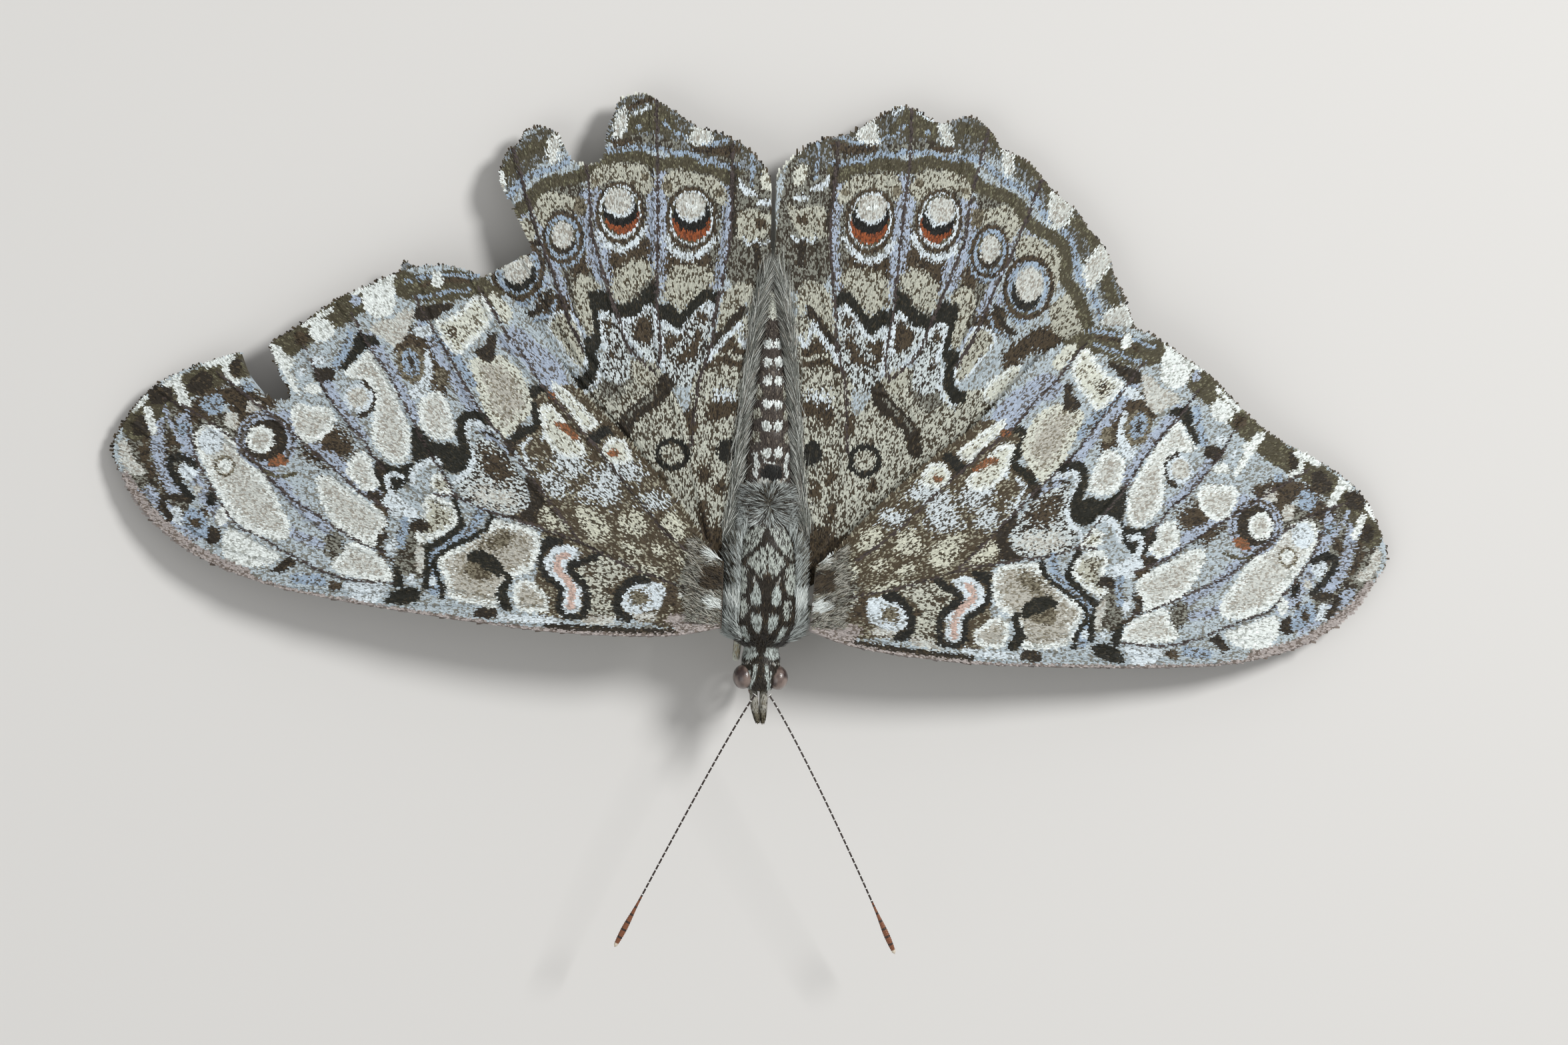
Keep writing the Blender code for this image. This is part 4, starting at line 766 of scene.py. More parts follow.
    # Smaller eye spots toward the leading edge
    skin.patch("blue", "11.2,19.4 11.6,18.1 12.4,17.4 13.3,17.9 13.8,19 13.7,20.1 12.8,20.8 11.8,20.6")
    skin.ring("brown", 12.65, 19.3, 1.25, 1.6, 0.24, soft=0.03)
    skin.ring("olive", 12.65, 19.3, 0.82, 1.05, 0.14, soft=0.03)
    skin.spot("dark", 12.62, 19.0, 0.7, 0.76)
    skin.spot("grey", 12.65, 19.45, 0.64, 0.8)
    skin.patch("olive", "14.2,17.6 14.5,17 15.1,16.5 15.8,16.1 16.3,15.9 15.8,15.5 15.3,15.3 14.8,15.2 "
               "14.3,15.9 14.1,16.6")
    skin.patch("black", "14.1,17.4 14.5,16.9 15.2,16.4 15.9,16.1 15.6,15.9 14.8,16 14.2,16.4")
    skin.line("blue", 0.25, "13.7,16.6 14.1,15.9 14.6,15.3 15,15.1 15.3,15.4")
    skin.line("dark", 0.4, "13.4,16 13.7,15.3 14.2,14.7 14.7,14.5")
    skin.line("dark", 0.3, "14.1,18.9 15.1,18.8 16,18.7")
    skin.line("blue", 0.25, "13,15.4 13.3,14.7 13.8,14.4 14.4,14.1")
    skin.ring("brown", 15.3, 17.3, 1.65, 1.95, 0.3, soft=0.03)
    skin.ring("blue", 15.3, 17.3, 1.3, 1.55, 0.24, soft=0.03)
    skin.spot("black", 15.2, 17.0, 0.95, 1.1)
    skin.spot("grey", 15.35, 17.45, 0.88, 1.0)
    # Dark band, the blue line beyond it and the margin
    skin.line("rim", 3.2, "1,25.3 4,25.9 8,26.7 11,26.6", soft=0.1)
    skin.line("rim", 1.9, "12.4,26 15.2,24 17.8,21.4 19.8,19 21.4,16.4 21.8,14", soft=0.1)
    skin.line("olive", 0.8, "2.3,23.6 2.6,23.2 3.5,23.8 4.2,24 5,24.1 6,24.2 7,24 8,24.4 9,24.45 9.9,24.3 "
              "10.9,24 11.5,23.2 12.6,22.8 13.7,22.5 14.5,21.8 14.8,21.2 16,20.6 16.9,20.2 17.6,19.3 "
              "17.6,18 18.2,17.3 18.6,16.7 19.1,15.8 19.4,15")
    skin.patch("olive", "5.2,26 5.8,26.2 6.4,27.2 7.2,27.7 8.2,27.4 8.8,26.6 8.7,25.8 7.6,26 6.6,26 "
               "5.6,25.7")
    skin.spots("blue", 0.2, 0.15, "6.6,26.5 8.2,26.2")
    skin.line("brown", 0.55, "2.3,25.1 3.4,24.9 4.8,25.1")
    skin.line("haze", 0.3, "2.3,24.6 3.2,24.4")
    skin.line("haze", 0.5, "5.9,25.2 7,25.2 / 7.3,25.5 8.5,25.5")
    skin.line("brown", 0.4, "8.6,25.3 9.7,25.2")
    skin.line("blue", 0.18, "2.2,25.7 2.8,25.7 3.5,25.4 4.3,25.3 4.8,25.4 5.2,25.6 5.7,25.9 6.1,25.9 "
              "6.5,26.3 6.7,26.6")
    skin.line("blue", 0.32, "2.2,24.1 2.6,24 3.2,24.1 3.8,24.4 4.3,24.2 4.6,24.5 5.2,24.8 5.8,24.7 "
              "6.2,24.7 6.7,25 7,24.9 7.3,24.9 8,25 8.8,24.9 9.8,24.7")
    skin.line("olive", 0.7, "10.4,26.6 11.6,26.4 12.4,26 13.4,25.2 14.6,24.6 15.6,23.8 16.6,22.4 17.8,21.4 "
              "19,20.6 19.6,19.4 20.4,17.6 21.2,16 21.8,14.4 21.6,13")
    skin.line("blue", 0.42, "9.8,24.7 11,24.8 12,24.4 13,23.6 14.2,23.2 15.2,22.6 15.9,21.7 16.9,21 "
              "17.9,20 18.2,18.9 18.6,18 19.3,17.2 19.9,16.2 20.3,15.2")
    skin.line("brown", 0.3, "5,27 6.3,27.8 7,28 8,27.8 8.8,27.3 9.3,27")
    skin.line("ice", 0.2, "6,27.3 6.6,27.7")
    skin.line("ice", 0.25, "7.6,27.5 8.1,27.2 8.5,27")
    skin.patch("grey", "3.9,26.3 4.4,26.7 4.9,26.9 5,26.2 5.2,25.5 4.6,25.2 4,25.4 3.7,25.6 / 8.8,27.4 "
               "9.2,27.3 9.5,27 9.7,26.2 9.75,25.5 9.3,25.5 8.95,26 8.85,26.5 8.9,27 / 12.9,25.6 13.4,25.6 "
               "13.7,24.9 13.6,23.9 13.2,23.8 12.9,24.6 / 16.4,23.4 17,22.9 17.6,22.4 17.7,21.6 17.2,21 "
               "16.7,20.7 16.2,21.4 16.1,22.5 / 18.7,18.9 19.5,19.9 20,20.5 20.6,19.5 20.4,18.7 20,18.2 "
               "19.6,17.5 19.2,17.2 18.7,18.2 / 20.7,16.3 21.3,16.6 21.9,16.4 22.1,15.8 21.9,14.8 "
               "21.2,14.4 20.2,15 20,15.5", "white", 0.2, soft=0.1)
    skin.spot("white", 3.2, 26.8, 0.35, 0.25)
    # Inner strip beside the abdomen
    skin.line("blue", 0.25, "1.3,23 1.3,25.2")
    skin.patch("white", "-0.4,24.3 0.1,25 0.5,25.4 0.6,25.1 0.1,24.4")
    skin.patch("cream", "0,22.6 0.7,22.7 0.7,23.9 0,23.7")
    skin.patch("ice", "1,22.3 1.6,22.4 2.1,22.6 2.15,23.4 2,23.3 1.8,22.9 1.2,22.6")
    skin.line("ice", 0.3, "0.2,21.9 0.9,21.9")
    skin.patch("beige", "-0.2,21.6 0.4,21.2 1.2,21.5 2,21.4 2.4,20.9 2.4,19.8 1.5,19.5 0.8,19.7 0.1,20.5")
    skin.spot("brown", 0.8, 20.6, 0.35, 0.35)
    skin.line("ice", 0.18, "0.2,19.6 0.6,19.4 1.1,19.6 1.5,19.3 1.8,19.7")
    skin.line("dark", 0.45, "0.9,18 1,19.3")
    skin.line("dark", 0.4, "2.4,20 2.5,22 2.5,24")
    # Veins
    skin.line("vein", 0.2, "2.5,25.4 2.55,24 2.6,20 2.9,18 3.15,16.5 3.35,15.5 3.5,14.5 3.6,13.3 4,12 "
              "4.4,10.5 4.7,7 / 7.2,28 7.1,26 7,20 6.95,15 6.85,14.5 6.7,12.5 6.8,11.6 / 7,11.3 8.7,13 "
              "9.2,14.5 9.6,15.5 9.9,16.4 10.3,17.6 10.8,19.2 11,20 11.2,23 12.2,27.4 / 11.2,12.4 "
              "12.3,14.6 12.9,16.3 13.4,17.6 14,19 14.5,20.5 15.8,24.8")


# Undersides
# Under the wings the scales are pale, with brown margins and brown rings in line with the eye spots. The
# forewing's outer half is brown with pale spots, and its leading edge is pinkish grey.


def mark_forewing_under(skin):
    skin.ground("cream")
    skin.patch("brown", "19,-4 30,-3 38,3 39,6 36,10 28,14 22,18 17,17.5 18,10 19,4 18.4,0")
    skin.patch("white", "21,-2.6 24,-2.2 25,1 24,3 21.6,2 20.6,0 / 24,5 26,6 25.4,9 23.4,9.6 22.6,7 / "
               "28.5,-0.4 32,0.6 31.4,2 29,1.4")
    skin.spots("cream", 0.8, 0.9, "31,6.6 27.4,9.6 34.6,5.2 22.4,13.4")
    skin.line("dark", 0.5, "10.8,-3.2 10.9,-1.8 11.8,-0.6 10.6,0.3")
    skin.line("costa", 0.8, "2.6,-4 6.1,-4.5 12.4,-4.5 18.7,-3.9 25,-3.1 29.8,-2.2 34.1,-0.5 36.9,1.8 "
              "38.6,4.6")


def mark_hindwing_under(skin):
    skin.ground("cream")
    skin.line("brown", 2.6, "1.2,24 3.2,25 6.8,26.4 9.6,26.4 12.6,26 15.6,23.6 18.2,21 20,18.8 21.4,16 "
              "21.8,13")
    skin.line("cream", 0.4, "2.4,24.4 6.8,25.4 9.8,25.3 13.2,24 16,21.6 18.4,19.2 20,16.4")
    for out, along in points_of("4.95,20.75 9.25,20.95 12.65,19.3 15.3,17.4 17.8,15"):
        skin.ring("brown", out, along, 1.1, 1.35, 0.35)
        skin.spot("ice", out, along, 0.3, 0.35)
    skin.line("brown", 0.4, "3,15.4 5.6,15.2 8.4,15.8 11,15.6 12.6,13")


MARKS = {"forewing": (mark_forewing, mark_forewing_under), "hindwing": (mark_hindwing, mark_hindwing_under)}

# Wing membranes as meshes
# Under the scales each wing is one closed sheet, cut on its own outline, with the relief of its veins. It
# carries the same markings as the scales, and is fixed in the flank of the thorax.
GRID_PITCH = 0.42
GRID_SHAKE = 0.07
VEIN_ROW_PITCH = 0.35
LEAST_GAP = 0.12
VEIN_CLEARANCE = 0.4
MARGIN_CLEARANCE = 0.18
MEMBRANE_TONE = 0.8
HALF_MAP = 0.49


def painted_material(name, roughness, specular=0.3, sheen=0.0):
    """A dry surface in the colours painted on the mesh."""
    material = bpy.data.materials.new(name)
    material.use_nodes = True
    nodes, links = material.node_tree.nodes, material.node_tree.links
    shader = nodes["Principled BSDF"]
    shader.inputs["Roughness"].default_value = roughness
    shader.inputs["Specular IOR Level"].default_value = specular
    shader.inputs["Sheen Weight"].default_value = sheen
    colour = nodes.new("ShaderNodeAttribute")
    colour.attribute_name = "scale_colour"
    links.new(colour.outputs["Color"], shader.inputs["Base Color"])
    return material


def paint_points(mesh, colours):
    """Linear colours, one for each vertex, as the mesh's colour attribute."""
    layer = mesh.color_attributes.new(name="scale_colour", type="FLOAT_COLOR", domain="POINT")
    layer.data.foreach_set("color", np.column_stack([colours, np.ones(len(colours))]).ravel())


def bake_map(mesh, places):
    """The UV map that textures are baked on, from one place in the unit square for each vertex."""
    corners = np.zeros(len(mesh.loops), int)
    mesh.loops.foreach_get("vertex_index", corners)
    layer = mesh.uv_layers.new(name="OFBake")
    layer.data.foreach_set("uv", np.clip(places[corners], 0.0, 1.0).ravel())


def mesh_from(form, name):
    """The finished form as a mesh."""
    mesh = bpy.data.meshes.new(name)
    form.to_mesh(mesh)
    form.free()
    return mesh


def points_in_plan(mesh):
    """The mesh's vertices in millimetres on the butterfly's plan."""
    points = np.zeros(len(mesh.vertices) * 3)
    mesh.vertices.foreach_get("co", points)
    return points.reshape(-1, 3) / MM - (MIDLINE, FORE_AND_AFT, 0.0)


def unit(rows):
    """Each row at length one."""
    return rows / np.linalg.norm(rows, axis=1)[:, None]


def piece_of(name, mesh, material, node=None):
    """A smooth-shaded piece in the scene. Where a node is named, the piece takes the place of that solid."""
    mesh.polygons.foreach_set("use_smooth", np.ones(len(mesh.polygons), bool))
    piece = bpy.data.objects.new(name, mesh)
    bpy.context.scene.collection.objects.link(piece)
    mesh.materials.append(material)
    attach(piece, "root")
    if node:
        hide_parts(node)
    return piece


def plan_square(places):
    """Where plan places fall in the unit square, evenly scaled and with a narrow border."""
    low = places.min(axis=0) - 0.3
    reach = float((places.max(axis=0) + 0.3 - low).max())
    return (places - low) / reach


def sheet_plan(wing):
    """Plan points of a membrane: its margin, three rows along every vein, and a grid between."""
    low, high = wing.margin.min(axis=0), wing.margin.max(axis=0)
    rng = np.random.default_rng(11)
    columns, rows = np.meshgrid(*(np.arange(low[i], high[i], GRID_PITCH) for i in (0, 1)))
    field = np.stack([columns.ravel(), rows.ravel()], axis=1)
    field += rng.uniform(-GRID_SHAKE, GRID_SHAKE, field.shape)
    clear = np.full(len(field), FAR)
    by_veins = []
    for vein in wing.veins:
        run = smooth_line(vein, VEIN_ROW_PITCH)
        ahead = unit(np.gradient(run, axis=0))
        across = np.stack([-ahead[:, 1], ahead[:, 0]], axis=1)
        half = vein_half_width(run[:, 0])[:, None]
        by_veins += [run, run + across * half, run - across * half]
        clear = np.minimum(clear, distance_to_line(field, vein))
    by_veins = np.vstack(by_veins)
    # Where rows of crossing veins nearly meet, one point of them is kept.
    first = np.unique(np.round(by_veins / LEAST_GAP).astype(int), axis=0, return_index=True)[1]
    inner = np.vstack([by_veins[np.sort(first)], field[clear > VEIN_CLEARANCE]])
    inner = inner[inside(inner, wing.margin) & (distance_to_line(inner, wing.border) > MARGIN_CLEARANCE)]
    return np.vstack([wing.margin, inner])


def sheet_of(wing, mark, mark_under):
    """The membrane's mesh: its plan triangulated, lifted to the relief and given thickness downward."""
    count = len(wing.margin)
    rim = [(i, (i + 1) % count) for i in range(count)]
    plan, _, faces, _, _, _ = delaunay_2d_cdt([Vector(p) for p in sheet_plan(wing)], rim, [], 1, 1e-5)
    plan = np.array([tuple(p) for p in plan])
    sheet = bmesh.new()
    corners = [sheet.verts.new(p) for p in in_place(wing.solid(plan))]
    for face in faces:
        sheet.faces.new([corners[i] for i in face])
    bmesh.ops.recalc_face_normals(sheet, faces=sheet.faces)
    if sum(face.normal.z for face in sheet.faces) < 0:
        bmesh.ops.reverse_faces(sheet, faces=sheet.faces)
    bmesh.ops.solidify(sheet, geom=list(sheet.faces), thickness=MEMBRANE_THICKNESS * MM)
    bmesh.ops.recalc_face_normals(sheet, faces=sheet.faces)
    mesh = mesh_from(sheet, wing.name + "_membrane")
    points = points_in_plan(mesh)
    plan = wing.plan(points)
    upper = points[:, 2] > wing.height(plan) - MEMBRANE_THICKNESS / 2
    rng = np.random.default_rng(5)
    above, below = Mosaic(wing.pattern_places(plan), rng), Mosaic(wing.pattern_places(plan), rng)
    mark(above)
    mark_under(below)
    paint_points(mesh, MEMBRANE_TONE * np.where(upper[:, None], above.finished(), below.finished()))
    # The two faces lie side by side on the bake map, each squeezed to half the width.
    bake_map(mesh, plan_square(plan) * (HALF_MAP, 1.0) + np.where(upper, 0.0, 0.5)[:, None] * (1.0, 0.0))
    return mesh


membrane_material = painted_material("wing_membrane", 0.55)
for wing in wings:
    sheet = sheet_of(wing, *MARKS[wing.kind])
    piece_of(wing.name + "_membrane", sheet, membrane_material, wing.name)

# Wing scales
# Both faces of every wing are tiled with rows of single flat scales, each a few faces and one colour, its
# root darkened as painted shade. The rows ring the wing's root, and each scale lies outward over the
# roots of the next row.
SCALE_ROW_PITCH = 0.118
SCALE_PITCH = 0.068
SCALE_LENGTH = 0.23
SCALE_WIDTH = 0.08
SCALE_SHARES = (0.0, 0.55, 1.0)
SCALE_HALF_WIDTHS = (0.3, 0.5, 0.36)
SCALE_LIFTS = (0.004, 0.03, 0.045)
SCALE_STRAY = 0.012
SCALE_LEAN = 0.09
SCALE_TILT = 0.008
UNDER_ROW_PITCH = 0.22
UNDER_PITCH = 0.13
EDGE_CLEARANCE = 0.06
FRINGE_PITCH = 0.045
FRINGE_INSET = 0.08
# Painted shade: every blade is painted darker at its root, where the blades before it lie over it.
ROOT_SHADE = 0.8
ROOT_SHADE_REACH = 0.4
BAKE_PATCH = 0.003


def scale_rows(wing, row_pitch, pitch, rng):
    """Root places of the scales and the plan direction in which each lies, in brick-like rings."""
    centre = wing.lie_centre
    reach = np.hypot(*(wing.margin - centre).T)
    turns = np.arctan2(*(wing.margin - centre).T)
    places = []
    for row, radius in enumerate(np.arange(reach.min() * 0.4, reach.max(), row_pitch)):
        turn = np.arange(turns.min(), turns.max(), pitch / radius) + (row % 2) * 0.5 * pitch / radius
        places.append(centre + radius * np.stack([np.sin(turn), np.cos(turn)], axis=1))
    places = np.vstack(places)
    places += rng.normal(0.0, SCALE_STRAY, places.shape)
    places = places[inside(places, wing.margin)]
    along = unit(places - centre)
    lean = rng.normal(0.0, SCALE_LEAN, len(places))
    leaned = np.stack([along[:, 0] * np.cos(lean) - along[:, 1] * np.sin(lean),
                       along[:, 0] * np.sin(lean) + along[:, 1] * np.cos(lean)], axis=1)
    return places, leaned


def blades(name, roots, along, up, lengths, widths, colours, square, shares, half_widths, lifts, rest=None,
           tilts=None):
    """Flat blades joined in one mesh: each runs from its root along its lie and rises from the skin.

    Shares, half widths and lifts say how far along each row of points lies, how wide and how high it is.
    Rest lays a row on the wing, and tilts raise one side of each blade.
    """
    across = np.cross(along, up)
    stations, squares, root_shaded_colours = [], [], []
    corner = BAKE_PATCH / 2
    for share, half, lift in zip(shares, half_widths, lifts):
        middle = roots + along * (share * lengths)[:, None]
        if rest is not None:
            middle = rest(middle)
        middle = middle + up * np.broadcast_to(lift, len(roots))[:, None]
        for sign in (-1.0, 1.0):
            edge = middle + across * (sign * half * widths)[:, None]
            if tilts is not None:
                edge = edge + up * (sign * tilts)[:, None]
            stations.append(edge)
            squares.append(square + (sign * corner, (2 * share - 1) * corner))
            # Painted shade: the colour darkens toward the blade's root.
            root_shaded_colours.append(colours * (ROOT_SHADE + (1.0 - ROOT_SHADE) * min(1.0, share / ROOT_SHADE_REACH)))
    count, steps = len(roots), len(shares)
    points = np.stack(stations, axis=1).reshape(-1, 3)
    first = (np.arange(count) * 2 * steps)[:, None]
    quads = [first + np.array([2 * i, 2 * i + 1, 2 * i + 3, 2 * i + 2]) for i in range(steps - 1)]
    faces = np.stack(quads, axis=1).reshape(-1, 4)
    mesh = bpy.data.meshes.new(name)
    mesh.from_pydata(in_place(points), [], faces)
    paint_points(mesh, np.stack(root_shaded_colours, axis=1).reshape(-1, 3))
    bake_map(mesh, np.stack(squares, axis=1).reshape(-1, 2))
    return mesh


def fringe(wing, rng):
    """Root places and lies of a close row of scales along the free margin."""
    run = wing.border
    steps = np.linalg.norm(np.diff(run, axis=0), axis=1)
    gone = np.concatenate([[0.0], np.cumsum(steps)])
    at = np.arange(0.0, gone[-1], FRINGE_PITCH)
    places = np.stack([np.interp(at, gone, run[:, i]) for i in (0, 1)], axis=1)
    ahead = np.stack([np.interp(at + 0.3, gone, run[:, i]) for i in (0, 1)], axis=1) - places
    ahead /= np.maximum(np.linalg.norm(ahead, axis=1)[:, None], 1e-6)
    out = np.stack([-ahead[:, 1], ahead[:, 0]], axis=1)
    out *= np.where(inside(places + 0.1 * out, wing.margin), -1.0, 1.0)[:, None]
    away = unit(places - wing.lie_centre)
    lie = unit(out + 0.5 * away + rng.normal(0.0, 0.12, out.shape))
    # The root and the leading edge have no fringe.
    kept = (places[:, 0] > 3.6) & (np.sum(out * away, axis=1) > -0.35) & (out[:, 1] > -0.5)
    return places[kept] - FRINGE_INSET * out[kept], lie[kept]


def scale_coat(wing, mark, face):
    """One face's coat of scales, in parts of a few tens of thousands. Face is 1 above and -1 underneath."""
    rng = np.random.default_rng(len(wing.name) * 7 + wing.side + 3 * face)
    pitches = (SCALE_ROW_PITCH, SCALE_PITCH) if face > 0 else (UNDER_ROW_PITCH, UNDER_PITCH)
    places, lie = scale_rows(wing, *pitches, rng)
    kept = distance_to_line(places, wing.border) > EDGE_CLEARANCE
    places, lie = places[kept], lie[kept]
    stretch = np.ones(len(places))
    if face > 0:
        hems, hem_lies = fringe(wing, rng)
        places, lie = np.vstack([places, hems]), np.vstack([lie, hem_lies])
        stretch = np.concatenate([stretch, rng.uniform(0.7, 1.35, len(hems))])
    size = pitches[1] / SCALE_PITCH
    skin = Mosaic(wing.pattern_places(places + 0.5 * SCALE_LENGTH * size * lie), rng)
    mark(skin)
    colours = skin.finished()
    offset = 0.0 if face > 0 else -MEMBRANE_THICKNESS

    def on_face(points):
        return wing.solid(wing.plan(points), offset)

    roots = wing.solid(places, offset)
    along = np.column_stack([wing.side * lie[:, 0], lie[:, 1], np.zeros(len(places))])
    up = np.zeros((len(places), 3))
    up[:, 2] = face
    lengths = SCALE_LENGTH * size * stretch * (1.0 + 0.12 * rng.standard_normal(len(places)))
    widths = SCALE_WIDTH * size * (1.0 + 0.1 * rng.standard_normal(len(places)))
    tilts = SCALE_TILT * rng.standard_normal(len(places))
    if face < 0:
        parts = [np.ones(len(places), bool)]
    else:
        # The split runs across the longer side of the wing, where it halves the scales.
        long_side = places[:, int(np.argmax(np.ptp(places, axis=0)))]
        near_root = long_side < np.median(long_side)
        parts = [near_root, ~near_root]
    for part in parts:
        yield blades(wing.name, roots[part], along[part], up[part], lengths[part], widths[part],
                     colours[part], plan_square(places[part]), SCALE_SHARES, SCALE_HALF_WIDTHS, SCALE_LIFTS,
                     on_face, tilts[part])


scale_material = painted_material("wing_scales", 0.62, 0.25, 0.08)
for wing in wings:
    above, below = MARKS[wing.kind]
    for word, mesh in zip(("inner", "outer"), scale_coat(wing, above, 1)):
        piece_of(wing.name + "_scales_" + word, mesh, scale_material)
    for mesh in scale_coat(wing, below, -1):
        piece_of(wing.name + "_under_scales", mesh, scale_material)

# Body skin
# Head, thorax and abdomen are one closed skin, waisted at the neck and behind the thorax and grooved between
# the rings of the abdomen. It is lofted from rings that lie a coat's depth inside the solids it replaces.
SKIN_STATIONS = np.array([
    (-7.5, 0.3, 0.35, 4.85), (-7.3, 0.7, 0.68, 4.9), (-6.9, 1.02, 0.95, 4.95), (-6.3, 1.15, 1.08, 5.0),
    (-5.8, 1.1, 1.04, 4.98), (-5.4, 1.08, 1.06, 4.98), (-5.1, 1.0, 1.06, 4.98), (-4.85, 1.0, 1.0, 4.98),
    (-4.6, 1.4, 1.3, 5.02), (-4.2, 1.82, 1.66, 5.1), (-3.6, 2.16, 1.95, 5.2), (-2.2, 2.24, 2.12, 5.25),
    (-0.6, 2.24, 2.08, 5.2), (0.8, 2.2, 1.86, 5.1), (1.5, 2.02, 1.62, 5.02), (2.0, 1.7, 1.42, 4.95),
    (2.35, 1.5, 1.26, 4.9), (2.8, 1.44, 1.24, 4.85), (3.6, 1.46, 1.34, 4.8), (5.4, 1.46, 1.42, 4.7),
    (7.2, 1.38, 1.37, 4.6), (9.0, 1.2, 1.22, 4.5), (10.8, 1.0, 1.02, 4.4), (12.6, 0.8, 0.84, 4.3),
    (14.2, 0.55, 0.64, 4.2), (15.6, 0.4, 0.46, 4.1), (16.4, 0.22, 0.26, 4.05), (16.65, 0.1, 0.12, 4.02)])
ABDOMEN_GROOVES = (4.2, 6.1, 8.0, 9.9, 11.7, 13.4, 15.0)
GROOVE_DEPTH = 0.07
GROOVE_WIDTH = 0.2
# Swellings of the thorax: how far out and along their middle lies, their half sizes and their rise.
SWELLINGS = [(0.0, 1.1, 0.8, 0.6, 0.16), (0.85, -4.4, 0.6, 0.35, 0.2), (1.9, -3.2, 0.6, 1.4, 0.22),
             (0.5, -1.2, 0.45, 2.4, 0.06)]
RING_POINTS = 72
RING_PITCH = 0.14
MARKS_ALONG = (-7.5, -4.0, 1.0, 4.0, 16.0)
MARKS_MIDDLE = (-0.1, -0.18, -0.15, 0.08, 0.12)
SKIN_TONE = 0.7


def body_size(along):
    """The body's half width, half height and the height of its axis at places along it."""
    return [np.interp(along, SKIN_STATIONS[:, 0], SKIN_STATIONS[:, i]) for i in (1, 2, 3)]


def skin_at(turn, along):
    """Points of the body skin in millimetres, for turns from the top toward the left and places along."""
    wide, high, middle = body_size(along)
    x, z = wide * np.sin(turn), high * np.cos(turn)
    swell = np.zeros(len(x))
    for groove in ABDOMEN_GROOVES:
        swell -= GROOVE_DEPTH * np.exp(-((along - groove) / GROOVE_WIDTH) ** 2)
    for out, back, half_out, half_back, rise in SWELLINGS:
        swell += (rise * np.exp(-((np.abs(x) - out) / half_out) ** 2 - ((along - back) / half_back) ** 2)
                  * (np.cos(turn) > 0))
    round_off = np.minimum(1.0, wide / 0.8)
    return np.column_stack([x * (1 + swell * round_off / np.maximum(wide, 0.3)), along,
                            middle + z * (1 + swell * round_off / np.maximum(high, 0.3))])


def skin_frame(turn, along):
    """Outward normals and tailward directions of the skin."""
    step = 0.02
    around = skin_at(turn + step, along) - skin_at(turn - step, along)
    back = unit(skin_at(turn, along + step) - skin_at(turn, along - step))
    normal = np.cross(around, back)
    normal /= np.maximum(np.linalg.norm(normal, axis=1)[:, None], 1e-9)
    return normal, back


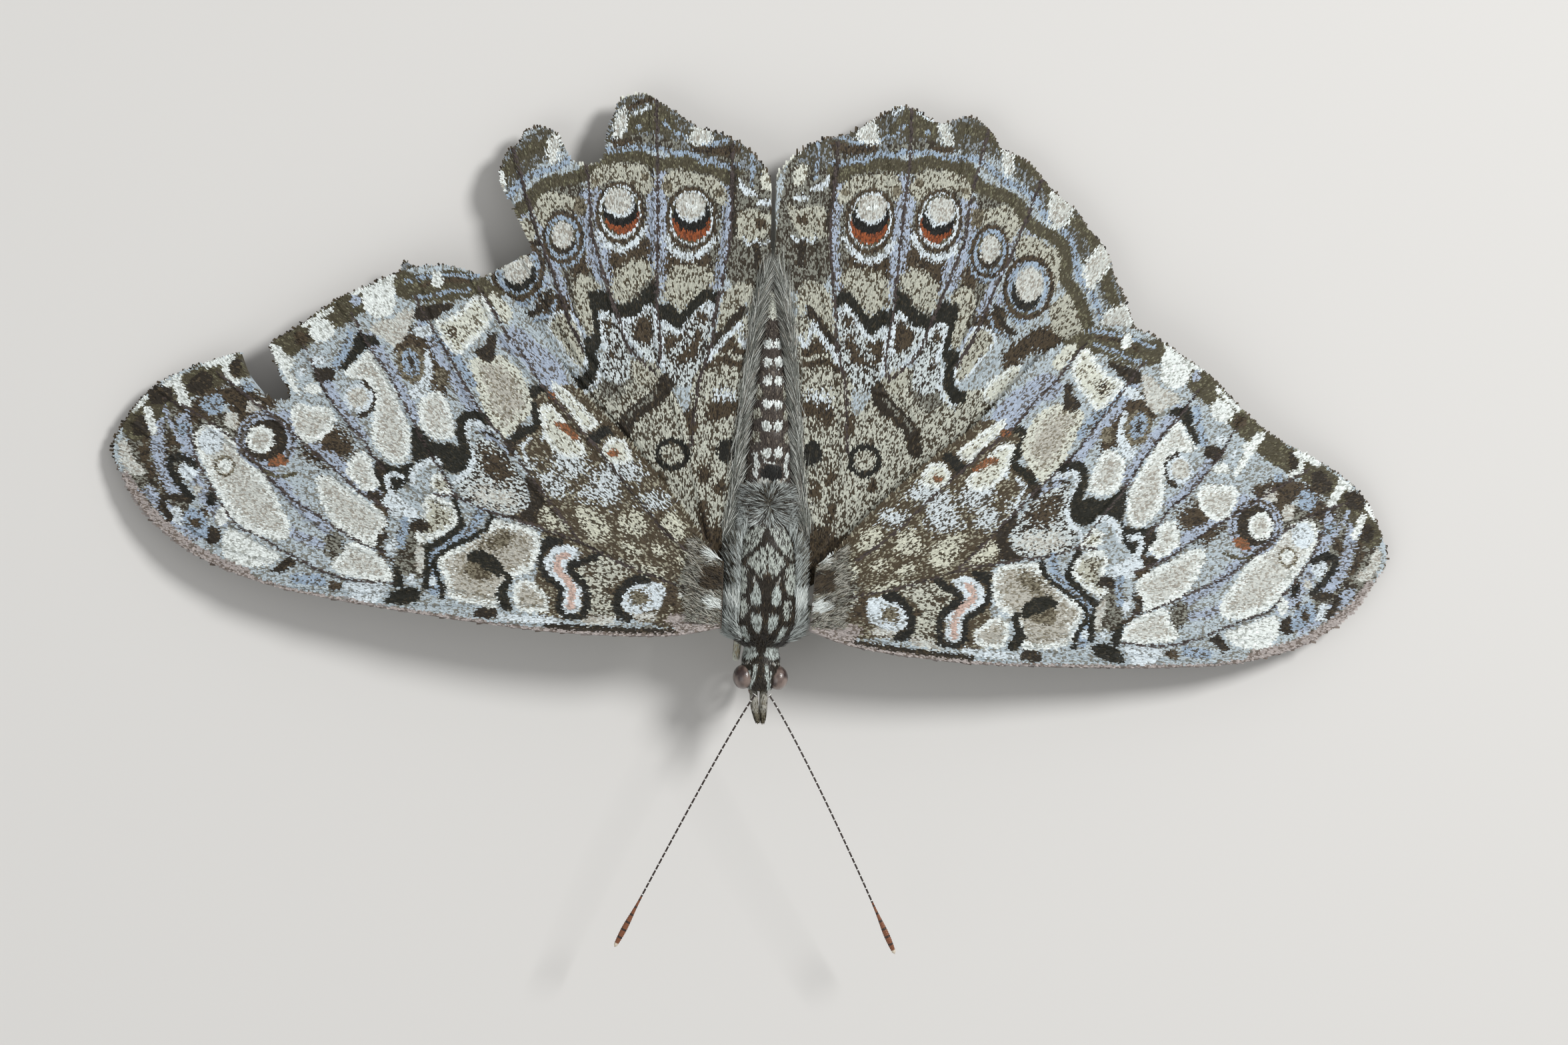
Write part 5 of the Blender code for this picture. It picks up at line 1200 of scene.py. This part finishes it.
def mark_body(skin):
    """Markings seen from above: places are the distance from the midline and the place along the body."""
    skin.ground("dark")
    # Abdomen: pairs of pale spots down its grey-brown back and one black blotch near the front
    skin.patch("back", "-1,4 3,4 3,17 -1,17")
    skin.spots("soot", 0.66, 0.5, "0,5.5", soft=0.04)
    skin.line("grey", 0.34, "0.1,4.9 0.6,5 1.1,4.6", soft=0.08)
    skin.line("white", 0.1, "0,6.2 0.45,6.25", soft=0.03)
    skin.line("white", 0.26, "0.95,5.4 0.85,5.9 0.95,6.6", soft=0.04)
    for along in (6.75, 8.4, 9.7, 11.1, 12.25, 13.4):
        skin.spot("white", 0.36 - 0.01 * (along - 6.75), along, 0.27, 0.3, soft=0.04)
    for along in (7.7, 9.05, 10.35):
        skin.spot("beige", 0.95 - 0.06 * (along - 7.7), along, 0.22, 0.34, soft=0.04)
    skin.patch("cream", "-0.4,15.1 0.4,15.1 0.4,17 -0.4,17")
    # Thorax: whorl of grey hair at the back, cream diamond, chevrons and ovals in front of it
    skin.patch("haze", "-1,4.7 1.2,4.6 1.5,3.7 1.3,3 0.6,2.7 -1,2.8", soft=0.1)
    skin.patch("fleck", "0.1,2.45 0.85,2.35 1.45,1.6 1.62,0.9 1.6,0.25 1.15,0.6 0.62,1.2 0.25,1.9", soft=0.04)
    skin.patch("fleck", "-0.5,0.8 0,1.3 0.5,0.86 1.14,0.16 0.92,-0.14 0.5,-0.6 0.2,-0.88 -0.3,-0.7",
               soft=0.03)
    skin.line("dark", 0.13, "0,0.95 0,-0.5", soft=0.03)
    skin.patch("brown", "-0.1,-0.35 0.12,-0.45 0.3,-0.75 0.05,-1.05 -0.3,-0.8", soft=0.03)
    skin.patch("pale", "0.5,-1.15 0.72,-1.2 0.9,-1.9 0.86,-2.25 0.6,-2.45 0.32,-2.3 0.26,-1.9 0.4,-1.5",
               soft=0.03)
    skin.line("grey", 0.1, "0.62,-1.1 0.78,-0.75", soft=0.03)
    skin.patch("pale", "0.24,-3 0.68,-2.85 0.86,-3.1 0.66,-3.6 0.42,-4.02 0.22,-3.95 0.16,-3.4", soft=0.03)
    skin.patch("fleck", "1.1,-0.2 1.6,0.1 1.85,-0.6 1.8,-1.4 1.6,-1.75 1.25,-1.7 1.1,-1 1.2,-0.6 / "
               "1.1,-2.1 1.5,-2.05 1.6,-2.6 1.45,-3.1 1.2,-3.2 1.05,-2.7", soft=0.05)
    skin.line("pale", 0.3, "1.2,-3.75 1.05,-4.1 0.7,-4.7", soft=0.05)
    skin.patch("down", "1.75,2.4 3,2.4 3,-4.9 1.7,-4.9 1.72,-4.2 1.95,-2.6 2.05,-1.6 1.8,0.4", soft=0.05)
    skin.patch("back", "1.95,-0.1 2.6,-0.1 2.6,-1.2 2,-1.2", soft=0.1)
    # Head
    skin.patch("dark", "-1,-4.85 1.6,-4.85 1.6,-8 -1,-8")
    skin.spot("pale", 0.68, -5.2, 0.48, 0.36, soft=0.03)
    skin.line("pale", 0.22, "0.3,-5.95 0.34,-6.5 0.52,-6.95 0.56,-7.3", soft=0.02)
    skin.line("pale", 0.1, "0.6,-6.3 0.6,-6.7", soft=0.01)
    skin.line("grey", 0.1, "0.6,-5.8 1.3,-5.8", soft=0.03)
    skin.spot("grey", 0.0, -7.7, 0.22, 0.14)


def mark_body_under(skin):
    """Pale underneath, with a tan line along the belly."""
    skin.ground("cream")
    skin.line("tan", 0.5, "0,2.6 0,17")
    skin.patch("haze", "1.3,-4.6 3,-4.6 3,2.4 1.5,2.4")


def body_colours(points, turn, rng):
    """Colours at points of the coat. The marks' midline strays a little to the right over the thorax."""
    middle = np.interp(points[:, 1], MARKS_ALONG, MARKS_MIDDLE)
    places = np.column_stack([np.abs(points[:, 0] - middle), points[:, 1]])
    upper, lower = Mosaic(places, rng), Mosaic(places, rng)
    mark_body(upper)
    mark_body_under(lower)
    return np.where((np.cos(turn) > -0.15)[:, None], upper.finished(), lower.finished())


def body_square(turn, along):
    """An even unwrap of the body: turns from side to side, and places along it upward."""
    return np.column_stack([0.5 + 0.98 * turn / (2 * pi), (along + 7.8) / 24.8])


def lofted(name, rings):
    """A closed skin through rings of points in millimetres, filled at its two ends."""
    form = bmesh.new()
    previous = None
    for ring in rings:
        ring = [form.verts.new(p) for p in in_place(ring)]
        edges = [form.edges.new((a, b)) for a, b in zip(ring, ring[1:] + ring[:1])]
        if previous:
            bmesh.ops.bridge_loops(form, edges=previous + edges)
        else:
            bmesh.ops.contextual_create(form, geom=edges)
        previous = edges
    bmesh.ops.contextual_create(form, geom=previous)
    bmesh.ops.recalc_face_normals(form, faces=form.faces)
    return mesh_from(form, name)


front, rear = SKIN_STATIONS[0, 0], SKIN_STATIONS[-1, 0]
turns = np.linspace(-pi, pi, RING_POINTS, endpoint=False)
skin_mesh = lofted("body_skin", [skin_at(turns, np.full(RING_POINTS, along))
                                 for along in np.linspace(front, rear, round((rear - front) / RING_PITCH))])
skin_points = points_in_plan(skin_mesh)
skin_turns = np.arctan2(skin_points[:, 0], skin_points[:, 2] - body_size(skin_points[:, 1])[2])
paint_points(skin_mesh, SKIN_TONE * body_colours(skin_points, skin_turns, np.random.default_rng(3)))
bake_map(skin_mesh, body_square(skin_turns, skin_points[:, 1]))
skin_material = painted_material("body_skin", 0.6)
skin_piece = piece_of("body_skin", skin_mesh, skin_material, "thorax")
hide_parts("head")
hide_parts("abdomen")

# Body hair and scales
# The abdomen is tiled with scales like the wings'. The thorax has longer hair-like scales combed to the tail,
# with a whorl at its back and loose tufts at the wing roots, and the head has short ones combed forward.
WHORL = (0.0, 3.65)
WHORL_REACH = 1.2
COAT_LEAN = 0.16
WIDEST = 2.2


def body_coat(name, start, end, count, length, width, lifts, shares, half_widths, seed, forward=False):
    """A coat from start to end along the body, as dense as it is wide there, lying to the tail or forward."""
    rng = np.random.default_rng(seed)
    along = rng.uniform(start, end, count * 2)
    kept = rng.random(count * 2) * WIDEST < body_size(along)[0]
    along = along[kept][:count]
    turn = rng.uniform(-pi, pi, len(along))
    number = len(along)
    normal, back = skin_frame(turn, along)
    side = np.cross(normal, back)
    lean = rng.normal(0.0, COAT_LEAN, number)
    lie = back * (-1.0 if forward else 1.0)
    lie = lie * np.cos(lean)[:, None] + side * np.sin(lean)[:, None]
    roots = skin_at(turn, along)
    # Hair round the whorl points away from it.
    off = roots[:, :2] - WHORL
    near = np.exp(-(np.hypot(*off.T) / WHORL_REACH) ** 2)[:, None] * (np.cos(turn) > 0)[:, None]
    out = np.column_stack([off, np.zeros(number)]) / np.maximum(np.hypot(*off.T), 0.1)[:, None]
    lie = lie * (1 - near) + out * near * 1.5
    lie = unit(lie - normal * np.sum(lie * normal, axis=1)[:, None])
    colours = body_colours(roots + lie * (0.5 * length), turn, rng)
    lengths = length * (1 + 0.2 * rng.standard_normal(number)) * np.clip(body_size(along)[0], 0.35, 1.0)
    widths = width * (1 + 0.12 * rng.standard_normal(number))
    rise = np.clip(1 + 0.3 * rng.standard_normal(number), 0.2, 1.8)
    mesh = blades(name, roots, lie, normal, lengths, widths, colours, body_square(turn, along), shares,
                  half_widths, [lift * rise for lift in lifts])
    piece_of(name, mesh, hair_material)


hair_material = painted_material("body_hair", 0.5, 0.35, 0.15)
HAIR_SHARES = (0.0, 0.5, 1.0)
HAIR_HALF_WIDTHS = (0.4, 0.5, 0.08)
HAIR_LIFTS = (0.0, 0.05, 0.07)
body_coat("thorax_hair", -4.9, 4.5, 42000, 0.32, 0.04, HAIR_LIFTS, HAIR_SHARES, HAIR_HALF_WIDTHS, 21)
body_coat("abdomen_scales", 4.2, 16.5, 17000, 0.26, 0.085, (0.0, 0.04, 0.06), SCALE_SHARES,
          SCALE_HALF_WIDTHS, 22)
body_coat("head_hair", -7.45, -4.8, 9000, 0.22, 0.036, HAIR_LIFTS, HAIR_SHARES, HAIR_HALF_WIDTHS, 23,
          forward=True)

# Loose hair
# Longer fine hair stands a little off the coat: pale grey along the flanks, darker low on the sides, white
# tufts before and behind a brown patch where the forewings join, and long grey hair on the hindwings' inner
# margins that lies over the sides of the abdomen.
LOOSE_STRAY = 0.14


def loose_hair(name, roots, lies, lengths, width, lifts, paints, seed):
    """Fine hairs from root points in millimetres, each bent through its two lifts, in the paints given."""
    rng = np.random.default_rng(seed)
    count = len(roots)
    lies = unit(lies + rng.normal(0.0, LOOSE_STRAY, lies.shape))
    up = np.tile((0.0, 0.0, 1.0), (count, 1))
    up = unit(up - lies * np.sum(up * lies, axis=1)[:, None])
    skin = Mosaic(roots[:, :2], rng)
    for paint, chosen in paints:
        skin.fill(np.flatnonzero(chosen), paint)
    rise = np.clip(1 + 0.4 * rng.standard_normal(count), 0.2, 2.0)
    lengths = lengths * (1 + 0.2 * rng.standard_normal(count))
    mesh = blades(name, roots, lies, up, lengths, np.full(count, width), skin.finished(),
                  plan_square(roots[:, :2]), HAIR_SHARES, HAIR_HALF_WIDTHS,
                  [lift * rise for lift in (0.0, *lifts)])
    piece_of(name, mesh, hair_material)


# Whorl: the hair at the back of the thorax points away from its middle, mostly to the sides.
rng = np.random.default_rng(60)
count = 2600
turn = rng.uniform(-1.2, 1.2, count)
along = rng.uniform(2.7, 4.7, count)
roots = skin_at(turn, along)
lies = unit(np.column_stack([(roots[:, :2] - WHORL) * (1.4, 0.6), np.full(count, 0.1)]))
loose_hair("whorl_hair", roots, lies, np.full(count, 0.6), 0.036, (0.07, 0.05),
           [("down", np.ones(count, bool)), ("dark", rng.random(count) < 0.4)], 67)
INNER_EDGE = ((2.0, 3.6, 5.4, 9.0, 12.6, 16.2, 17.8), (2.5, 2.1, 2.05, 1.72, 1.35, 0.85, 0.3))
rng = np.random.default_rng(61)
for wing in wings:
    side, word = wing.side, wing.word
    if wing.kind == "hindwing":
        # Inner margin: the hair rises near the edge and leans over the abdomen's side.
        count = 4200
        along = rng.uniform(1.4, 17.3, count)
        out = np.interp(along, *INNER_EDGE) - 0.04 + rng.exponential(0.09, count)
        inward = side * rng.uniform(-0.55, -0.15, count)
        lies = np.column_stack([inward, np.ones(count), np.full(count, -0.05)])
        paints = [("strand", np.ones(count, bool)), ("grey", rng.random(count) < 0.3)]
        loose_hair("inner_margin_hair_" + word, wing.solid(np.column_stack([out, along])), lies,
                   np.full(count, 1.5), 0.03, (0.14, 0.06), paints, 62 + side)
    else:
        # Wing roots: fuzzy grey hair over the joint, brown in a gap between two white tufts.
        count = 3200
        places = np.column_stack([rng.uniform(2.7, 4.6, count), rng.uniform(-3.6, 1.4, count)])
        places = places[inside(places, wing.margin)]
        count = len(places)
        white = (np.hypot((places[:, 0] - 3.0) / 0.5, (places[:, 1] - 0.6) / 0.42) < 1) | (
            np.hypot((places[:, 0] - 3.0) / 0.5, (places[:, 1] + 2.4) / 0.36) < 1)
        gap = (places[:, 0] < 3.8) & (np.abs(places[:, 1] + 0.9) < 0.7) & ~white
        tailward = 0.5 + 0.3 * rng.standard_normal(count)
        lies = np.column_stack([side * np.ones(count), tailward, np.zeros(count)])
        paints = [("haze", ~white), ("stone", ~white & (rng.random(count) < 0.4)), ("brown", gap),
                  ("white", white)]
        loose_hair("wing_root_hair_" + word, wing.solid(places), lies, 0.5 + 0.2 * white, 0.04, (0.1, 0.12),
                   paints, 64 + side)
# Flanks: a white line behind the shoulder, and a darker hollow low on the side behind it.
count = 9000
turn = rng.uniform(0.8, 2.0, count) * np.where(rng.random(count) < 0.5, 1.0, -1.0)
along = rng.uniform(-4.5, 3.0, count)
normal, back = skin_frame(turn, along)
shoulder = along < -1.4
lies = back + np.where(shoulder, 0.3, 0.8)[:, None] * normal
stray = rng.normal(0.0, 0.14, count)
white = np.abs(along + stray + 2.5) < 0.3
hollow = (np.abs(turn) > 0.9) & (along + stray > -1.7) & (along + stray < 1.8) & (rng.random(count) < 0.8)
loose_hair("flank_hair", skin_at(turn, along), lies, 0.75 + 0.2 * white - 0.15 * hollow, 0.042, (0.07, 0.04),
           [("down", ~white), ("haze", hollow), ("white", white)], 66)

# Eyes
# Large compound eyes, brownish pink and faintly banded, each an ovoid covered in fine six-sided facets.
EYE_MIDDLE = (1.05, -6.68, 5.1)
EYE_RADII = (0.62, 0.74, 0.86)
eye_material = bpy.data.materials.new("compound_eye")
eye_material.use_nodes = True
eye_nodes, eye_links = eye_material.node_tree.nodes, eye_material.node_tree.links
eye_shader = eye_nodes["Principled BSDF"]
eye_shader.inputs["Roughness"].default_value = 0.22
eye_shader.inputs["Coat Weight"].default_value = 0.5
eye_place = eye_nodes.new("ShaderNodeTexCoord")
eye_facets = eye_nodes.new("ShaderNodeTexVoronoi")
eye_facets.inputs["Scale"].default_value = 14000.0
eye_facets.inputs["Randomness"].default_value = 0.25
eye_bump = eye_nodes.new("ShaderNodeBump")
eye_bump.inputs["Strength"].default_value = 0.5
eye_bump.inputs["Distance"].default_value = 0.00003
eye_bump.invert = True
eye_bands = eye_nodes.new("ShaderNodeTexNoise")
eye_bands.inputs["Scale"].default_value = 1400.0
eye_bands.inputs["Detail"].default_value = 1.0
eye_ramp = eye_nodes.new("ShaderNodeValToRGB")
eye_ramp.color_ramp.elements[0].position = 0.4
eye_ramp.color_ramp.elements[0].color = (*linear((58, 44, 42)), 1.0)
eye_ramp.color_ramp.elements[1].position = 0.6
eye_ramp.color_ramp.elements[1].color = (*linear((124, 108, 100)), 1.0)
eye_links.new(eye_place.outputs["Object"], eye_facets.inputs["Vector"])
eye_links.new(eye_place.outputs["Object"], eye_bands.inputs["Vector"])
eye_links.new(eye_facets.outputs["Distance"], eye_bump.inputs["Height"])
eye_links.new(eye_bump.outputs["Normal"], eye_shader.inputs["Normal"])
eye_links.new(eye_bands.outputs["Fac"], eye_ramp.inputs["Fac"])
eye_links.new(eye_ramp.outputs["Color"], eye_shader.inputs["Base Color"])
SIDES = ((1, "left"), (-1, "right"))
for side, word in SIDES:
    form = bmesh.new()
    bmesh.ops.create_icosphere(form, subdivisions=5, radius=1.0)
    middle = in_place((side * EYE_MIDDLE[0], EYE_MIDDLE[1], EYE_MIDDLE[2]))
    shape = Matrix.Translation(middle) @ Matrix.Diagonal((*[r * MM for r in EYE_RADII], 1.0))
    bmesh.ops.transform(form, matrix=shape, verts=form.verts)
    piece_of("compound_eye_" + word, mesh_from(form, "eye_" + word), eye_material, "eye_" + word)

# Antennae, palps, proboscis and legs
# Round limbs swept along their lines: fine antennae dotted with white, with a slim club, two upturned palps
# under the face, the coiled tongue and six thin banded legs. All are fixed in the body where they begin.
LIMB_SIDES = 14


def sweep(name, route, radii, sides=LIMB_SIDES):
    """A closed round tube along the route in millimetres, with one radius for each of its points."""
    ahead = unit(np.gradient(route, axis=0))
    upward = np.array((0.0, 0.0, 1.0)) if abs(ahead[0, 2]) < 0.9 else np.array((1.0, 0.0, 0.0))
    turns = np.linspace(0, 2 * pi, sides, endpoint=False)
    rings = []
    for place, direction, radius in zip(route, ahead, radii):
        upward = upward - direction * (upward @ direction)
        upward /= np.linalg.norm(upward)
        across = np.cross(direction, upward)
        rings.append(place + radius * (np.cos(turns)[:, None] * upward + np.sin(turns)[:, None] * across))
    return lofted(name, rings)


def paint_along(mesh, route, colours):
    """Paints each vertex with the colour of the nearest point of the route, or all in one colour."""
    colours = np.broadcast_to(np.asarray(colours, float), (len(route), 3))
    nearest = np.array([int(np.argmin(((route - p) ** 2).sum(axis=1))) for p in points_in_plan(mesh)])
    paint_points(mesh, linear(colours[nearest]))


def fine_route(stations, pitch):
    """A smooth line through (place, radius) stations, as route and radii."""
    line = smooth_line([(*place, radius) for place, radius in stations], pitch)
    return line[:, :3], line[:, 3]


antenna_material = painted_material("antenna_horn", 0.42, 0.4)
ANTENNA_BASE = (0.42, -7.72, 6.05)
ANTENNA_REACH = 15.43
ANTENNA_DROP = 1.4
ANTENNA_RADIUS = 0.06
CLUB_RISE = 0.13
RING_SPACING = 0.13
DOT_SPACING = 3.2
HORN_COLOUR = (50, 41, 36)
DOT_COLOUR = (255, 255, 250)
CLUB_COLOUR = (120, 74, 48)
CLUB_BAND_COLOUR = (52, 38, 30)
CLUB_TIP_COLOUR = (206, 196, 178)
for side, word, spread in ((1, "left", 8.9), (-1, "right", 8.2)):
    number = int(ANTENNA_REACH * 1.13 / (RING_SPACING / 3))
    share = np.linspace(0.0, 1.0, number)
    route = np.column_stack([side * (ANTENNA_BASE[0] + (spread - ANTENNA_BASE[0]) * share ** 0.92),
                             ANTENNA_BASE[1] - ANTENNA_REACH * share,
                             ANTENNA_BASE[2] - ANTENNA_DROP * share ** 2])
    ring = np.arange(number) // 3
    radii = ANTENNA_RADIUS + CLUB_RISE * np.exp(-((share - 0.93) / 0.075) ** 2)
    radii *= np.where(np.arange(number) % 3 == 0, 0.86, 1.0)
    radii[0] = radii[1] = 0.16
    radii[-4:] *= (0.9, 0.7, 0.45, 0.15)
    colours = np.tile(HORN_COLOUR, (number, 1))
    dots = np.round(np.arange(0, number / 3, DOT_SPACING) * 3).astype(int)
    colours[dots] = DOT_COLOUR
    club = share > 0.8
    colours[club] = CLUB_COLOUR
    colours[club & (ring % 4 == 0)] = CLUB_BAND_COLOUR
    colours[share > 0.985] = CLUB_TIP_COLOUR
    mesh = sweep("antenna_" + word, route, radii, 10)
    paint_along(mesh, route, colours)
    piece_of("antenna_horn_" + word, mesh, antenna_material, "antenna_" + word)

PALP = [((0.32, -7.2, 4.45), 0.18), ((0.29, -8.0, 4.75), 0.2), ((0.24, -8.6, 5.05), 0.18),
        ((0.19, -9.0, 5.34), 0.14), ((0.16, -9.26, 5.54), 0.06)]
limb_skin = painted_material("limb_skin", 0.5)
limb_hair = painted_material("limb_scales", 0.55, 0.3, 0.1)


def limb_coat(name, stations, count, length, width, paint, tip_paint, seed, lift=0.05):
    """Slim scales lying toward the limb's end, in one paint that turns into another near the end."""
    rng = np.random.default_rng(seed)
    route, radii = fine_route(stations, 0.1)
    ahead = unit(np.gradient(route, axis=0))
    at = rng.uniform(0, len(route) - 1.001, count)
    low = at.astype(int)
    part = (at - low)[:, None]
    middle = route[low] * (1 - part) + route[low + 1] * part
    radius = radii[low] * (1 - part[:, 0]) + radii[low + 1] * part[:, 0]
    along = ahead[low]
    helper = np.where(np.abs(along[:, 2:]) < 0.9, (0.0, 0.0, 1.0), (1.0, 0.0, 0.0))
    one = unit(np.cross(along, helper))
    two = np.cross(along, one)
    turn = rng.uniform(0, 2 * pi, count)[:, None]
    normal = one * np.cos(turn) + two * np.sin(turn)
    roots = middle + normal * (radius * 0.97)[:, None]
    skin = Mosaic(np.column_stack([at / (len(route) - 1), turn[:, 0] / 6.3]), rng)
    skin.ground(paint)
    skin.fill(np.flatnonzero(skin.places[:, 0] + rng.normal(0, 0.06, count) > 0.72), tip_paint)
    square = np.column_stack([at / len(route), turn[:, 0] / (2 * pi)])
    lifts = [np.full(count, 0.0), np.full(count, lift), np.full(count, lift * 1.3)]
    mesh = blades(name, roots, along, normal, length * (1 + 0.2 * rng.standard_normal(count)),
                  np.full(count, width), skin.finished(), square, HAIR_SHARES, (0.4, 0.5, 0.15), lifts)
    piece_of(name, mesh, limb_hair)


def mirrored(stations, side):
    """The left limb's stations, or their mirror image for the right."""
    return [((side * place[0], place[1], place[2]), radius) for place, radius in stations]


for side, word in SIDES:
    stations = mirrored(PALP, side)
    route, radii = fine_route(stations, 0.12)
    mesh = sweep("palp_" + word, route, radii)
    paint_along(mesh, route, (120, 114, 102))
    piece_of("palp_skin_" + word, mesh, limb_skin, "palp_" + word)
    limb_coat("palp_scales_" + word, stations, 1400, 0.2, 0.045, "stone", "tan", 31 + side)

COIL_TURNS = 1.6
COIL_POINTS = 90
turns = np.linspace(0.0, 2 * pi * COIL_TURNS, COIL_POINTS)
reach = 1.12 - 0.62 * turns / (2 * pi)
coil = np.column_stack([np.zeros(COIL_POINTS), -6.7 - reach * np.sin(turns), 2.15 + reach * np.cos(turns)])
steps = np.arange(COIL_POINTS)
coil_radii = np.interp(steps, (0, 80, 89), (0.2, 0.15, 0.05)) * (1 - 0.08 * (steps % 2))
tongue = sweep("proboscis", coil, coil_radii, 16)
paint_along(tongue, coil, (84, 52, 34))
piece_of("proboscis_horn", tongue, antenna_material, "proboscis")

FRONT_LEG = [((0.95, -3.7, 2.45), 0.28), ((1.05, -4.9, 2.35), 0.22), ((1.08, -5.5, 2.25), 0.2),
             ((1.04, -5.2, 1.9), 0.18), ((0.95, -4.3, 1.4), 0.14)]
MIDDLE_LEG = [((1.75, -2.4, 2.3), 0.4), ((3.4, -2.65, 2.95), 0.34), ((4.85, -2.9, 3.4), 0.28),
              ((5.3, -2.92, 3.25), 0.24), ((6.6, -2.96, 2.0), 0.22), ((7.8, -3.0, 0.8), 0.18),
              ((8.3, -3.0, 0.38), 0.15), ((9.0, -3.02, 0.2), 0.14), ((10.6, -3.1, 0.18), 0.14),
              ((12.2, -3.2, 0.17), 0.12)]
HIND_LEG = [((1.65, 0.4, 2.35), 0.4), ((3.0, 2.3, 2.85), 0.34), ((4.15, 4.0, 3.2), 0.28),
            ((4.5, 4.7, 3.1), 0.24), ((5.4, 7.0, 1.95), 0.22), ((6.3, 9.2, 0.8), 0.18),
            ((6.6, 9.9, 0.36), 0.15), ((6.8, 10.9, 0.2), 0.14), ((7.25, 13.0, 0.18), 0.14),
            ((7.7, 15.2, 0.17), 0.12)]
for side, word in SIDES:
    for stem, stations in (("foreleg", FRONT_LEG), ("midleg", MIDDLE_LEG), ("hindleg", HIND_LEG)):
        limb = mirrored(stations, side)
        route, radii = fine_route(limb, 0.14)
        mesh = sweep(stem + "_" + word, route, radii)
        share = np.linspace(0, 1, len(route))
        dark = (share * 16 % 2 < 1) & (share > 0.55)
        paint_along(mesh, route, np.where(dark[:, None], (70, 56, 44), (170, 160, 136)))
        piece_of(stem + "_skin_" + word, mesh, limb_skin, stem + "_" + word)
        count = 500 if stem == "foreleg" else 1600
        limb_coat(stem + "_scales_" + word, limb, count, 0.22, 0.05, "cream", "tan", 41 + side, 0.02)

# Camera, light and floor
# The camera looks down on the open wings from a little to the animal's right, as the photo does, with its
# long side along the wings. The floor is a plain pale ground, lit like a white studio table.
CAMERA_TARGET = (0.0, 0.0, 6.0)
CAMERA_LEAN = 9.0
CAMERA_ROLL = 2.05
CAMERA_DISTANCE = 340.0
CAMERA_LENS = 130.1
IMAGE_SIZE = (2352, 1568)
TARGET_PIXEL = (1150, 850)


def aimed(place, target, roll=0.0):
    """A matrix at the place, looking at the target, turned about its own axis by the roll."""
    back = (Vector(place) - Vector(target)).normalized()
    right = Vector((0.0, 1.0, 0.0)).cross(back).normalized()
    upward = back.cross(right)
    turn = radians(roll)
    side = right * cos(turn) + upward * sin(turn)
    head = upward * cos(turn) - right * sin(turn)
    matrix = Matrix((side, head, back)).transposed().to_4x4()
    matrix.translation = Vector(place)
    return matrix


scene = bpy.context.scene
camera_data = bpy.data.cameras.new("camera")
camera_data.lens = CAMERA_LENS
camera_data.sensor_width = 36.0
camera_data.shift_x = (IMAGE_SIZE[0] / 2 - TARGET_PIXEL[0]) / IMAGE_SIZE[0]
camera_data.shift_y = (TARGET_PIXEL[1] - IMAGE_SIZE[1] / 2) / IMAGE_SIZE[0]
camera_data.clip_start = 0.01
camera_data.clip_end = 10.0
camera = bpy.data.objects.new("camera", camera_data)
scene.collection.objects.link(camera)
lean = radians(CAMERA_LEAN)
target = Vector(in_place(CAMERA_TARGET))
camera.matrix_world = aimed(target + Vector((-sin(lean), 0.0, cos(lean))) * CAMERA_DISTANCE * MM, target,
                            CAMERA_ROLL)
scene.camera = camera


def soft_light(name, place, size, power):
    """A white disk of light at the place in metres, aimed at the middle of the floor."""
    data = bpy.data.lights.new(name, "AREA")
    data.shape = "DISK"
    data.size = size
    data.energy = power
    light = bpy.data.objects.new(name, data)
    scene.collection.objects.link(light)
    light.matrix_world = aimed(place, (0.0, 0.0, 0.0))


soft_light("key_light", (0.26, 0.2, 0.36), 0.14, 1.95)
soft_light("fill_light", (-0.3, -0.2, 0.3), 0.4, 0.5)
world = bpy.data.worlds.new("studio")
world.use_nodes = True
world.node_tree.nodes["Background"].inputs["Color"].default_value = (1.0, 1.0, 1.0, 1.0)
world.node_tree.nodes["Background"].inputs["Strength"].default_value = 0.45
scene.world = world
scene.view_settings.view_transform = "Standard"

floor_material = bpy.data.materials.new("floor")
floor_material.use_nodes = True
floor_shader = floor_material.node_tree.nodes["Principled BSDF"]
floor_shader.inputs["Base Color"].default_value = (0.62, 0.61, 0.59, 1.0)
floor_shader.inputs["Roughness"].default_value = 0.8
floor_form = bmesh.new()
bmesh.ops.create_grid(floor_form, x_segments=1, y_segments=1, size=2.0)
floor_mesh = mesh_from(floor_form, "floor")
floor_mesh.materials.append(floor_material)
floor = bpy.data.objects.new("floor", floor_mesh)
scene.collection.objects.link(floor)
